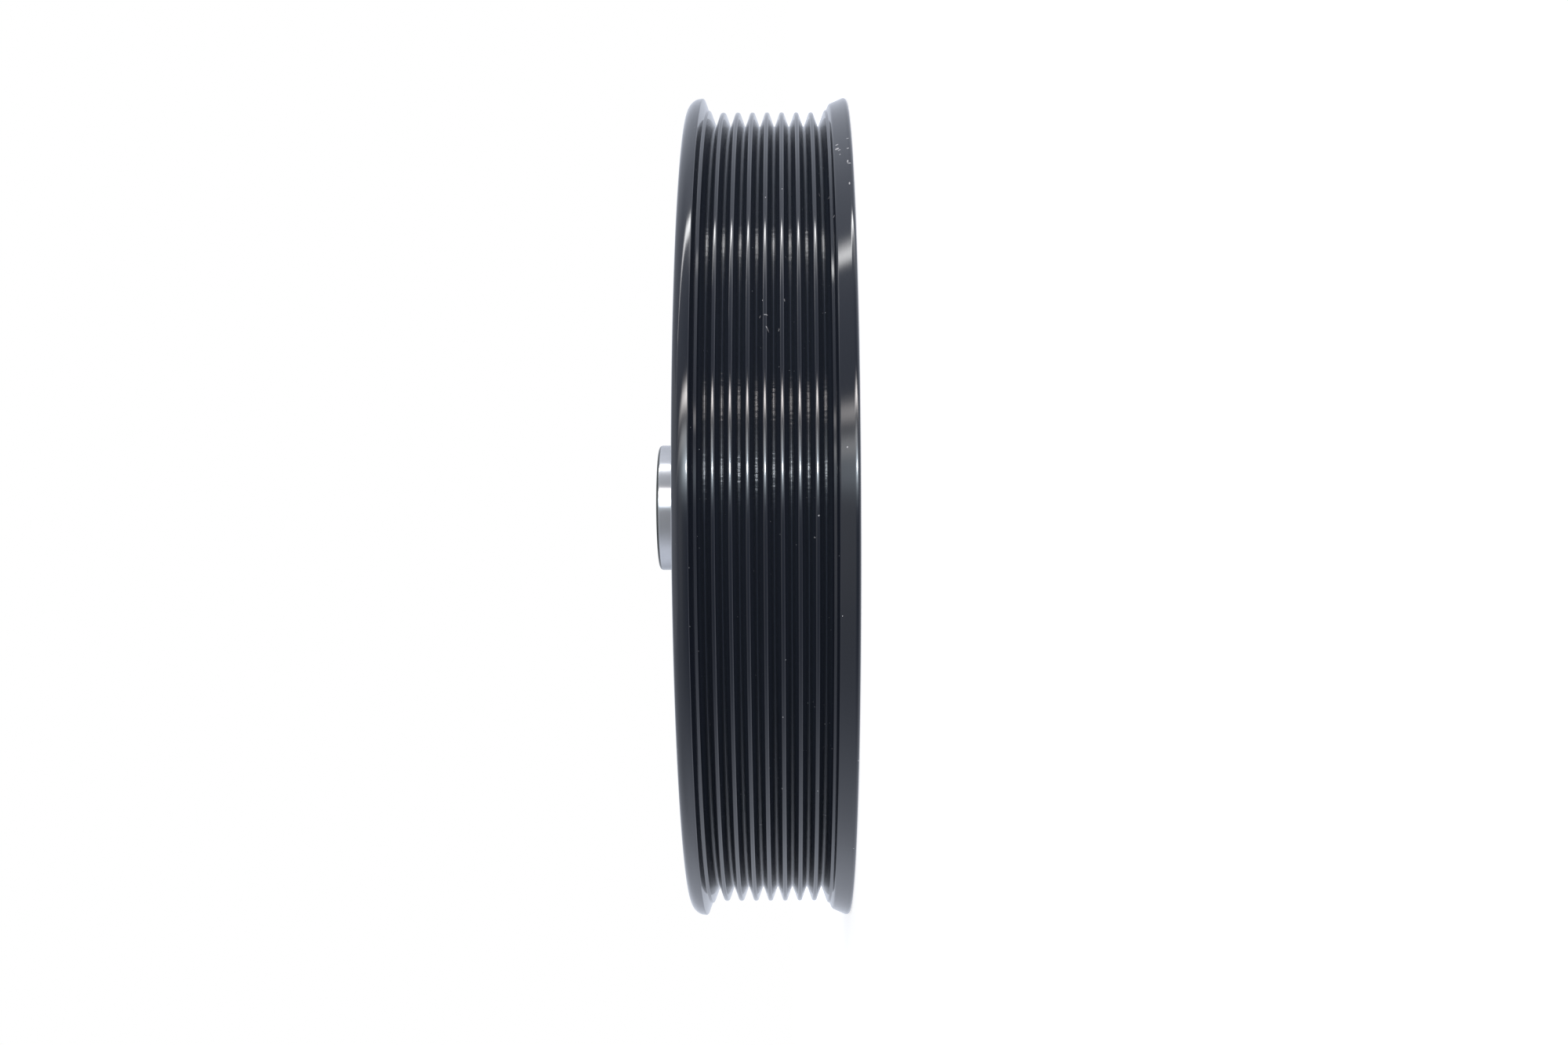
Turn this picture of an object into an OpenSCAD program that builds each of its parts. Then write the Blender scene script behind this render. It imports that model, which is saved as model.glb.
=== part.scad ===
// Crankshaft pulley with eight belt grooves and a rubber-mounted grooved ring.
// The axis is Z. The front face of the ring lies on z = 0 and the hub's snout points up.
// Outlines are lists of [radius, height, corner radius], turned about the axis.

/* [Belt grooves] */
// Number of belt grooves
groove_count = 8; // [4:1:10]
// Distance from one groove to the next
groove_pitch = 3.56; // [3.5:0.01:3.7]
// Angle between the two flanks of a groove, in degrees
groove_angle = 40; // [38:1:42]
// Width of the land on top of each rib, before its corners are rounded
rib_land_w = 0.85; // [0.7:0.05:1.1]
// Radius on the corners of each rib land
rib_corner_r = 0.25; // [0.15:0.05:0.3]
// Radius at the bottom of each groove
groove_root_r = 0.4; // [0.3:0.05:0.5]
// Diameter over the ribs
rib_d = 198.1; // [194:0.1:202]

/* [Front flange] */
// Width from the last groove's rib to the front face
front_flange_w = 5.06; // [4.5:0.01:7]
// Width of the level shoulder beside the ribs
front_shoulder_w = 0.4; // [0.3:0.05:0.6]
// Height of the steep step above the ribs
front_step_h = 1.95; // [1.5:0.05:2.2]
// Lean of the steep step, in degrees from the radial direction
front_step_angle = 13; // [8:1:20]
// Radius on top of the steep step
front_step_r = 0.8; // [0.4:0.1:0.9]
// Rise of the slanting land, in degrees from the axis
front_land_angle = 23; // [18:1:28]
// Radius on the outer corner
front_corner_r = 1.1; // [0.6:0.1:1.3]

/* [Rear flange] */
// Width from the last groove's rib to the rear face
rear_flange_w = 4.81; // [4.7:0.01:7]
// Width of the level shoulder beside the ribs
rear_shoulder_w = 0.4; // [0.3:0.05:0.5]
// Height of the flange crest above the ribs
rear_crest_h = 3.35; // [2.8:0.05:3.6]
// Lean of the inner flank, in degrees from the radial direction
rear_flank_angle = 14; // [8:1:16]
// Radius on the inner edge of the crest
rear_crest_r = 0.3; // [0.15:0.05:0.35]
// Radius of the large outer round
rear_round_r = 3.2; // [2:0.1:3.2]

/* [Ring bore and rubber] */
// Thickness of the ring, from the rib lands to the ends of its bore
ring_t = 17.05; // [15:0.05:19]
// Thickness of the rubber between the ring and the hub
rubber_t = 4; // [3:0.1:5]
// How far the middle of the rubber bows outwards
rubber_bow = 1.2; // [0.6:0.1:1.6]
// Depth of the rubber's ends below the faces of the hub rim
rubber_recess = 2; // [1:0.1:4]
// Depth of the hollow in each end of the rubber
rubber_hollow = 0.8; // [0.3:0.1:1.2]
// Chamfer on the edges of the ring bore
ring_edge = 1; // [0.5:0.1:1.5]

/* [Hub rim and web] */
// Thickness of the hub rim at its open edges
rim_t = 8; // [6.5:0.1:10]
// Depth of the rim's front edge below the front face of the ring
rim_front_recess = 2; // [0.5:0.1:4]
// Depth of the rim's rear edge below the rear face of the ring
rim_rear_recess = 3; // [0.5:0.1:5]
// Chamfer on the outer edges of the rim
rim_edge = 0.8; // [0.4:0.1:1]
// Radius on the inner edges of the rim
rim_lip_r = 1.5; // [0.5:0.1:2.5]
// Depth of the web's front side below the front face of the ring, beside the boss
web_front_depth = 13.5; // [12.5:0.1:15]
// Thickness of the web beside the boss
web_boss_t = 11; // [9:0.1:12]
// Thickness of the web beside the rim
web_rim_t = 9; // [7:0.1:9]
// Radius of the cast fillets beside the web
web_fillet_r = 5.5; // [3:0.5:6]
// Draft of the cast walls, in degrees
draft = 3; // [1:0.5:4]

/* [Web windows] */
// Number of windows
window_count = 3; // [3:1:4]
// Radial width of each window
window_w = 19; // [14:0.5:19]
// Angle that each window spans, in degrees
window_span = 74; // [50:1:76]
// Radius of the windows' corners
window_corner_r = 7; // [4:0.5:7]

/* [Hub boss and snout] */
// Diameter of the front boss
front_boss_d = 64; // [62:0.5:68]
// Depth of the boss face below the front face of the ring
boss_recess = 4.5; // [3:0.1:6]
// Radius on the rim of each boss
boss_round_r = 2; // [1:0.1:2.5]
// Diameter of the rear boss
rear_boss_d = 54; // [48:0.5:62]
// Height of the rear boss above the web
rear_boss_h = 6; // [5:0.1:9]
// Diameter of the bare snout
snout_d = 32; // [31:0.1:36]
// Length of the snout beyond the rear face of the ring
snout_out = 9.1; // [6:0.1:16]
// Chamfer on the end of the snout
snout_edge = 1.2; // [0.8:0.1:1.5]
// Radius of the fillet where the snout meets the rear boss
snout_fillet_r = 2; // [1:0.1:2.5]

/* [Bore, bolt seat and puller holes] */
// Diameter of the bore
bore_d = 22; // [20:0.1:23]
// Chamfer at the snout end of the bore
bore_edge = 1; // [0.5:0.1:1.2]
// Chamfer at the bolt end of the bore
bore_front_edge = 0.6; // [0.4:0.1:1]
// Width of the keyway
key_w = 5; // [4:0.1:6]
// Depth of the keyway beyond the bore
key_h = 2.3; // [1.5:0.1:2.6]
// Diameter of the bolt seat
seat_d = 33; // [30:0.5:35]
// Depth of the bolt seat below the boss face
seat_depth = 2.5; // [1.5:0.1:4]
// Number of puller holes
puller_count = 3; // [3:3:6]
// Diameter of the circle through the puller holes
puller_circle_d = 48; // [47:0.5:49]
// Drilled diameter of a puller hole, for an M8 thread
puller_hole_d = 6.8; // [5:0.1:7]
// Depth of a puller hole below the boss face, without its drill point
puller_depth = 15; // [10:0.5:16]
// Countersink on the puller holes
puller_edge = 0.6; // [0.3:0.1:0.8]

/* [Hidden] */
$fn = 128;

// Degrees of arc for each straight step of a rounded corner: small corners and large ones
small_step = 30;
large_step = 11.25;
small_corner_r = 0.8;
// Degrees of arc for each straight step of a window's outline
window_step = 9;
// How far cutting shapes run past the faces that they cut
over = 1;
// Angle of a drill's point
drill_point = 118;
// Steps along the bow of the rubber and across its ends
bow_steps = 10;
end_steps = 8;

rib_r = rib_d / 2;
bore_r = bore_d / 2;
snout_r = snout_d / 2;
seat_r = seat_d / 2;
front_boss_r = front_boss_d / 2;
rear_boss_r = rear_boss_d / 2;
rubber_mid_r = rib_r - ring_t - rubber_t / 2;

// Heights above the front face
ring_w = front_flange_w + groove_count * groove_pitch + rear_flange_w;
rim_z0 = rim_front_recess;
rim_z1 = ring_w - rim_rear_recess;
rubber_z0 = rim_z0 + rubber_recess;
rubber_z1 = rim_z1 - rubber_recess;
web_z0 = web_front_depth;
web_z1 = web_z0 + web_boss_t;
web_rim_z0 = web_z0 + (web_boss_t - web_rim_t) / 2;
web_rim_z1 = web_rim_z0 + web_rim_t;
rear_boss_z = web_z1 + rear_boss_h;
snout_z = ring_w + snout_out;
seat_z = boss_recess + seat_depth;

// Belt groove: half width at the rib lands and depth to the meeting point of the flanks
groove_half_w = (groove_pitch - rib_land_w) / 2;
groove_apex_h = groove_half_w / tan(groove_angle / 2);

// Radii of the hub rim and of the windows, which lie midway between the boss and the rim
rim_out_r = rubber_mid_r - rubber_t / 2;
rim_in_r = rim_out_r - rim_t;
web_outer_r = rim_in_r - (web_rim_z0 - rim_z0) * tan(draft);
web_inner_r = front_boss_r + (web_z0 - boss_recess) * tan(draft);
window_mid_r = (web_outer_r + web_inner_r) / 2;

// Bow of the rubber and of both walls that hold it, at a height z
function bow(z) =
    let (t = min(1, max(0, (z - rubber_z0) / (rubber_z1 - rubber_z0))))
    rubber_bow * (1 - cos(360 * t)) / 2;

// Wall beside the rubber, offset from its middle, from one height to another
function bowed_wall(offset_r, from_z, to_z) =
    [for (i = [0:bow_steps])
        let (z = from_z + (to_z - from_z) * i / bow_steps)
        [rubber_mid_r + offset_r + bow(z), z, 0]];

// Point p turned about the origin
function turned(p, angle) = [
    p.x * cos(angle) - p.y * sin(angle),
    p.x * sin(angle) + p.y * cos(angle)
];

// Arc of radius r that rounds the corner b between its neighbours a and c
function corner(a, b, c, r) =
    let (
        to_a = (a - b) / norm(a - b),
        to_c = (c - b) / norm(c - b),
        half = acos(to_a * to_c) / 2,
        centre = b + (to_a + to_c) / norm(to_a + to_c) * r / sin(half),
        start = b + to_a * r / tan(half) - centre,
        turn = (180 - 2 * half) * sign(cross(b - a, c - b)),
        step = r < small_corner_r ? small_step : large_step,
        steps = max(1, ceil(abs(turn) / step))
    )
    [for (i = [0:steps]) centre + turned(start, turn * i / steps)];

function flat(p) = [p[0], p[1]];

// Outline with each corner rounded by the radius that it carries
function rounded(path) =
    let (n = len(path))
    [for (i = [0:n - 1])
        let (a = flat(path[(i + n - 1) % n]), b = flat(path[i]), c = flat(path[(i + 1) % n]))
        each path[i][2] > 0 ? corner(a, b, c, path[i][2]) : [b]];

// One belt groove about the height z: rib corner, root and rib corner
function groove(z) = [
    [rib_r, z - groove_half_w, rib_corner_r],
    [rib_r - groove_apex_h, z, groove_root_r],
    [rib_r, z + groove_half_w, rib_corner_r]
];

function front_flange() =
    let (
        foot_z = front_flange_w - front_shoulder_w,
        top_z = foot_z - front_step_h * tan(front_step_angle),
        top_r = rib_r + front_step_h
    )
    [
        [top_r + top_z * tan(front_land_angle), 0, front_corner_r],
        [top_r, top_z, front_step_r],
        [rib_r, foot_z, rib_corner_r]
    ];

function rear_flange() =
    let (
        foot_z = ring_w - rear_flange_w + rear_shoulder_w,
        crest_z = foot_z + rear_crest_h * tan(rear_flank_angle),
        crest_r = rib_r + rear_crest_h
    )
    [
        [rib_r, foot_z, rib_corner_r],
        [crest_r, crest_z, rear_crest_r],
        [crest_r, ring_w, rear_round_r]
    ];

function ring_bore() =
    let (wall_r = rubber_mid_r + rubber_t / 2)
    concat(
        [[wall_r + ring_edge, ring_w, 0], [wall_r, ring_w - ring_edge, 0]],
        bowed_wall(rubber_t / 2, rubber_z1, rubber_z0),
        [[wall_r, ring_edge, 0], [wall_r + ring_edge, 0, 0]]
    );

module pulley_ring() {
    first_z = front_flange_w + groove_pitch / 2;
    grooves = [for (i = [0:groove_count - 1]) each groove(first_z + i * groove_pitch)];
    color([0.07, 0.08, 0.09])
        rotate_extrude()
            polygon(rounded(concat(front_flange(), grooves, rear_flange(), ring_bore())));
}

// End of the rubber at height z, hollowed inwards, from one wall to the other
function rubber_end(z, inwards, from_r, to_r) =
    [for (i = [1:end_steps - 1])
        let (t = i / end_steps)
        [from_r + (to_r - from_r) * t, z + inwards * rubber_hollow * 4 * t * (1 - t), 0]];

module rubber_ring() {
    outer_r = rubber_mid_r + rubber_t / 2;
    color([0.16, 0.16, 0.16])
        rotate_extrude()
            polygon(rounded(concat(
                bowed_wall(rubber_t / 2, rubber_z0, rubber_z1),
                rubber_end(rubber_z1, -1, outer_r, rim_out_r),
                bowed_wall(-rubber_t / 2, rubber_z1, rubber_z0),
                rubber_end(rubber_z0, 1, rim_out_r, outer_r)
            )));
}

// Rim of the hub, from its front lip round the outside to its rear lip
function hub_rim() = concat(
    [
        [web_outer_r, web_rim_z0, web_fillet_r],
        [rim_in_r, rim_z0, rim_lip_r],
        [rim_out_r - rim_edge, rim_z0, 0],
        [rim_out_r, rim_z0 + rim_edge, 0]
    ],
    bowed_wall(-rubber_t / 2, rubber_z0, rubber_z1),
    [
        [rim_out_r, rim_z1 - rim_edge, 0],
        [rim_out_r - rim_edge, rim_z1, 0],
        [rim_in_r, rim_z1, rim_lip_r],
        [rim_in_r - (rim_z1 - web_rim_z1) * tan(draft), web_rim_z1, web_fillet_r]
    ]
);

// Rear boss and snout, from the web to the bore
function hub_rear() = [
    [rear_boss_r + rear_boss_h * tan(draft), web_z1, web_fillet_r],
    [rear_boss_r, rear_boss_z, boss_round_r],
    [snout_r, rear_boss_z, snout_fillet_r],
    [snout_r, snout_z - snout_edge, 0],
    [snout_r - snout_edge, snout_z, 0],
    [bore_r + bore_edge, snout_z, 0],
    [bore_r, snout_z - bore_edge, 0]
];

// Bolt seat and front boss, from the bore to the web
function hub_front() = [
    [bore_r, seat_z + bore_front_edge, 0],
    [bore_r + bore_front_edge, seat_z, 0],
    [seat_r, seat_z, 0],
    [seat_r, boss_recess, 0],
    [front_boss_r, boss_recess, boss_round_r],
    [web_inner_r, web_z0, web_fillet_r]
];

// Points along an arc about a centre, from one angle to another
function arc(centre, r, from, to) =
    let (steps = ceil(abs(to - from) / window_step))
    [for (i = [0:steps])
        let (angle = from + (to - from) * i / steps)
        centre + r * [cos(angle), sin(angle)]];

// Half of a window's outline, on one side (1 or -1) of its middle line
function window_side(side) =
    let (
        half = window_span / 2,
        in_r = window_mid_r - window_w / 2,
        out_r = window_mid_r + window_w / 2,
        in_corner_r = in_r + window_corner_r,
        out_corner_r = out_r - window_corner_r,
        in_angle = half - asin(window_corner_r / in_corner_r),
        out_angle = half - asin(window_corner_r / out_corner_r),
        in_centre = in_corner_r * [cos(in_angle), side * sin(in_angle)],
        out_centre = out_corner_r * [cos(out_angle), side * sin(out_angle)]
    )
    concat(
        arc([0, 0], in_r, 0, side * in_angle),
        arc(in_centre, window_corner_r, side * (in_angle + 180), side * (half + 90)),
        arc(out_centre, window_corner_r, side * (half + 90), side * out_angle),
        arc([0, 0], out_r, side * out_angle, 0)
    );

function reversed(path) = [for (i = [len(path) - 1:-1:0]) path[i]];

// Opening through the web: part of a ring with rounded corners
module window() {
    right = window_side(1);
    left = reversed(window_side(-1));
    translate([0, 0, web_z0 - over])
        linear_extrude(web_boss_t + 2 * over)
            polygon(concat(
                [for (i = [0:len(right) - 2]) right[i]],
                [for (i = [0:len(left) - 2]) left[i]]
            ));
}

// Blind hole, drilled and countersunk from the boss face
module puller_hole() {
    hole_r = puller_hole_d / 2;
    mouth_r = hole_r + puller_edge;
    point_h = hole_r / tan(drill_point / 2);
    translate([puller_circle_d / 2, 0, boss_recess])
        rotate_extrude()
            polygon([
                [0, -over],
                [mouth_r, -over],
                [mouth_r, 0],
                [hole_r, puller_edge],
                [hole_r, puller_depth],
                [0, puller_depth + point_h]
            ]);
}

module keyway() {
    translate([0, -key_w / 2, seat_z - over])
        cube([bore_r + key_h, key_w, snout_z - seat_z + 2 * over]);
}

module hub() {
    color([0.5, 0.5, 0.51])
        difference() {
            rotate_extrude()
                polygon(rounded(concat(hub_front(), hub_rim(), hub_rear())));
            for (i = [0:window_count - 1])
                rotate(i * 360 / window_count + 180 / window_count)
                    window();
            for (i = [0:puller_count - 1])
                rotate(i * 360 / puller_count)
                    puller_hole();
            keyway();
        }
}

pulley_ring();
rubber_ring();
hub();
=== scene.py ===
"""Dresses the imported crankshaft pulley.

The grooved ring, its rubber and the cast hub are turned again as fine meshes from the same sizes as the
solid model, and get the finishes of the real one: gloss black coat, matte rubber, coated cast iron and bare
turned steel. The part stands on its front face, with its axis along Z.
"""

import logging
import math
from collections import defaultdict
from collections.abc import Iterable, Sequence
from dataclasses import dataclass, field
from enum import Enum
from functools import reduce

import bmesh
import bpy
from mathutils import Matrix, Vector


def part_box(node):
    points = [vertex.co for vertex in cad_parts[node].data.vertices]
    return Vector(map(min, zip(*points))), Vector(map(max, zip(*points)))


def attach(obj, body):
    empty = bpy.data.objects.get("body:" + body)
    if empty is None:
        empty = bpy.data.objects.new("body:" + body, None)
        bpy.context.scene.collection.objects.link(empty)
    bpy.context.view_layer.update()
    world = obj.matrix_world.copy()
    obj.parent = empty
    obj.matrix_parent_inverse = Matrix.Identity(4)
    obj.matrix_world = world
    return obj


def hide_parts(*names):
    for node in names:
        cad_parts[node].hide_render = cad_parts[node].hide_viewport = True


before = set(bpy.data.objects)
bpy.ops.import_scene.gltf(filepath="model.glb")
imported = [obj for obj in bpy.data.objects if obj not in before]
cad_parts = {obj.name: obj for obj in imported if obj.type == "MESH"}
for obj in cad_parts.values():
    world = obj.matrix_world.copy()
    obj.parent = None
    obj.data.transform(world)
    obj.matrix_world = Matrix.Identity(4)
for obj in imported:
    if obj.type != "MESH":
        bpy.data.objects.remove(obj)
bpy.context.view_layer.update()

logger = logging.getLogger("crankshaft_pulley")

Colour = tuple[float, float, float, float]
Socket = bpy.types.NodeSocket
Value = float | bpy.types.NodeSocket
Mesh = bmesh.types.BMesh
Verts = list[bmesh.types.BMVert]

MM = 0.001
MICRON = 0.000001
BODY = "root"

TURN_STEPS = 288
TURN_DOUBLINGS = 5
HOLE_STEPS = 32
HOLE_DOUBLINGS = 3
SMALL_ARC_STEP_DEG = 11.25
ARC_STEP_DEG = 14.0
SHARP_DEG = 32.0
CLEAN_SHARE = 0.3
NICK_CORE = 0.4
LACQUER_IOR = 1.5
QUARTER_TURN = 0.25
MERGE_DISTANCE = 2 * MICRON
AXIS = Vector((0.0, 0.0, 1.0))
ORIGIN = Vector((0.0, 0.0, 0.0))
WHITE = (1.0, 1.0, 1.0, 1.0)


class Side(Enum):
    """The two sides of the hub's web."""

    FRONT = "front"
    REAR = "rear"


class HubSkin(Enum):
    """The hub's two surfaces, by the index of their material."""

    CAST = 0
    TURNED = 1


@dataclass(frozen=True)
class Corner:
    """A corner of a turned outline.

    Attributes:
        radius: Distance from the axis.
        height: Height above the front face.
        rounding: Radius of the arc that rounds the corner, or 0 for a point that stays as it is.
    """

    radius: float
    height: float
    rounding: float = 0.0

    def place(self) -> Vector:
        """Returns the corner in the XZ plane."""
        return Vector((self.radius, 0.0, self.height))


def rounding_of(before: Corner, corner: Corner, after: Corner) -> tuple[float, int]:
    """Works out how a corner is rounded.

    Args:
        before: The outline's corner before this one.
        corner: The corner to round.
        after: The outline's corner after this one.

    Returns:
        How far along each edge the arc starts, and its number of straight steps.
    """
    back = before.place() - corner.place()
    on = after.place() - corner.place()
    turn = math.pi - back.angle(on)
    steps = max(2, math.ceil(math.degrees(turn) / ARC_STEP_DEG))
    return round(corner.rounding * math.tan(turn / 2), 9), steps


def level_point(radius: float, angle: float) -> Vector:
    """Returns the point at height 0 with this distance from the axis and this angle, in radians."""
    return Vector((radius * math.cos(angle), radius * math.sin(angle), 0.0))


def arc(mesh: Mesh, start: Vector, centre: Vector, angle: float) -> Verts:
    """Draws an arc of edges about an upright line, finely about the pulley's axis and coarsely elsewhere.

    Args:
        mesh: The mesh to draw in.
        start: Where the arc starts.
        centre: The centre of the arc.
        angle: The angle to turn, in radians.

    Returns:
        The arc's points.
    """
    old = set(mesh.verts)
    step_deg = 360 / TURN_STEPS if centre.length == 0 else SMALL_ARC_STEP_DEG
    steps = math.ceil(round(math.degrees(abs(angle)) / step_deg, 3))
    bmesh.ops.spin(
        mesh, geom=[mesh.verts.new(start)], cent=centre, axis=AXIS, dvec=ORIGIN, angle=angle, steps=steps,
    )
    return [v for v in mesh.verts if v not in old]


def circle(mesh: Mesh, radius: float, centre: Vector, steps: int) -> Verts:
    """Draws a full circle of edges.

    Args:
        mesh: The mesh to draw in.
        radius: The circle's radius.
        centre: The circle's centre.
        steps: The number of straight steps.

    Returns:
        The circle's points.
    """
    made = bmesh.ops.create_circle(
        mesh, cap_ends=False, segments=steps, radius=radius, matrix=Matrix.Translation(centre),
    )
    return made["verts"]


def edges_among(points: Iterable[bmesh.types.BMVert]) -> list[bmesh.types.BMEdge]:
    """Returns the edges whose two ends are both among the points."""
    chosen = set(points)
    return list({e for v in chosen for e in v.link_edges if e.other_vert(v) in chosen})


def nearest(points: Iterable[bmesh.types.BMVert], place: Vector) -> bmesh.types.BMVert:
    """Returns the point that lies nearest to a place."""
    return min(points, key=lambda v: (v.co - place).length)


def revolve(mesh: Mesh, centre: Vector, doublings: int, steps: int) -> None:
    """Turns all that a mesh holds once about an upright line: a narrow sector, then ever wider copies.

    Args:
        mesh: The mesh, which holds an outline of edges.
        centre: A point on the line.
        doublings: How many times the sector is doubled.
        steps: The number of straight steps in the whole turn.
    """
    sector = 2 * math.pi / 2**doublings
    bmesh.ops.spin(
        mesh, geom=mesh.verts[:] + mesh.edges[:], cent=centre, axis=AXIS, dvec=ORIGIN, angle=sector,
        steps=steps // 2**doublings,
    )
    for i in range(doublings):
        copy = bmesh.ops.duplicate(mesh, geom=mesh.verts[:] + mesh.edges[:] + mesh.faces[:])["geom"]
        points = [part for part in copy if isinstance(part, bmesh.types.BMVert)]
        turn = Matrix.Rotation(sector * 2**i, 3, "Z")
        bmesh.ops.rotate(mesh, verts=points, cent=centre, matrix=turn)
    bmesh.ops.remove_doubles(mesh, verts=mesh.verts, dist=MERGE_DISTANCE)


def fill(mesh: Mesh, edges: list[bmesh.types.BMEdge]) -> None:
    """Fills the level area between outlines, which may have holes.

    Args:
        mesh: The mesh that holds the outlines.
        edges: The edges of all the outlines.
    """
    bmesh.ops.triangle_fill(mesh, edges=edges, use_beauty=True, use_dissolve=False, normal=AXIS)


def add_object(name: str, data: bpy.types.ID) -> bpy.types.Object:
    """Makes an object and links it to the scene.

    Args:
        name: The object's name.
        data: Its mesh, camera or light.

    Returns:
        The object.
    """
    made = bpy.data.objects.new(name, data)
    bpy.context.scene.collection.objects.link(made)
    return made


def add_mesh_object(name: str, mesh: Mesh) -> bpy.types.Object:
    """Makes an object of a mesh that was being shaped, and frees that mesh.

    Args:
        name: The object's name.
        mesh: The shaped mesh.

    Returns:
        The object.
    """
    data = bpy.data.meshes.new(name)
    mesh.to_mesh(data)
    mesh.free()
    return add_object(name, data)


class Shaper:
    """Collects turned surfaces and flat panels in one mesh and finishes it as an object.

    Attributes:
        mesh: The mesh that is being shaped.
    """

    def __init__(self) -> None:
        """Starts with an empty mesh."""
        self.mesh = bmesh.new()

    def add(self, part: Mesh) -> None:
        """Adds a finished part and frees it.

        Args:
            part: The part's own mesh.
        """
        data = bpy.data.meshes.new("part")
        part.to_mesh(data)
        part.free()
        self.mesh.from_mesh(data)
        bpy.data.meshes.remove(data)

    def turn(self, corners: Sequence[Corner], closed: bool = False) -> None:
        """Rounds an outline's corners and turns it about the axis.

        Args:
            corners: The outline, in order.
            closed: True if the last corner joins the first.
        """
        part = bmesh.new()
        points = [part.verts.new(corner.place()) for corner in corners]
        count = len(points)
        for i in range(count if closed else count - 1):
            part.edges.new((points[i], points[(i + 1) % count]))
        alike = defaultdict(list)
        for i in range(0 if closed else 1, count if closed else count - 1):
            if corners[i].rounding > 0:
                key = rounding_of(corners[i - 1], corners[i], corners[(i + 1) % count])
                alike[key].append(points[i])
        for (reach, steps), chosen in alike.items():
            bmesh.ops.bevel(
                part, geom=chosen, offset=reach, offset_type="OFFSET", segments=steps,
                profile=0.5, affect="VERTICES", material=-1,
            )
        revolve(part, ORIGIN, TURN_DOUBLINGS, TURN_STEPS)
        self.add(part)

    def finish(self, name: str) -> bpy.types.Object:
        """Closes the mesh, points its faces outwards and makes the object.

        Args:
            name: The piece's name.

        Returns:
            The piece.
        """
        mesh = self.mesh
        bmesh.ops.remove_doubles(mesh, verts=mesh.verts, dist=MERGE_DISTANCE)
        bmesh.ops.recalc_face_normals(mesh, faces=mesh.faces)
        open_edges = sum(not edge.is_manifold for edge in mesh.edges)
        if open_edges:
            logger.warning("%s has %d open edges", name, open_edges)
        return add_mesh_object(name, mesh)


def soften(piece: bpy.types.Object) -> None:
    """Shades a piece smooth between its sharp edges, with the flat faces kept flat.

    Args:
        piece: The piece to shade.
    """
    piece.data.shade_smooth()
    piece.data.set_sharp_from_angle(angle=math.radians(SHARP_DEG))
    weighted = piece.modifiers.new("Even shading", "WEIGHTED_NORMAL")
    weighted.mode = "FACE_AREA"
    weighted.keep_sharp = True


def turned_piece(name: str, outline: Sequence[Corner]) -> bpy.types.Object:
    """Turns a closed outline into a finished piece.

    Args:
        name: The piece's name.
        outline: The outline, in order.

    Returns:
        The piece.
    """
    shaper = Shaper()
    shaper.turn(outline, closed=True)
    piece = shaper.finish(name)
    soften(piece)
    return piece


def cut(piece: bpy.types.Object, cutter: bpy.types.Object) -> None:
    """Cuts one shape out of a piece and removes the cutter.

    Args:
        piece: The piece to cut.
        cutter: The shape to take away.
    """
    boolean = piece.modifiers.new("Cut", "BOOLEAN")
    boolean.object = cutter
    boolean.operation = "DIFFERENCE"
    boolean.solver = "EXACT"
    graph = bpy.context.evaluated_depsgraph_get()
    result = bpy.data.meshes.new_from_object(piece.evaluated_get(graph))
    piece.modifiers.clear()
    old = piece.data
    piece.data = result
    result.name = piece.name
    bpy.data.meshes.remove(old)
    bpy.data.meshes.remove(cutter.data)


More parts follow.
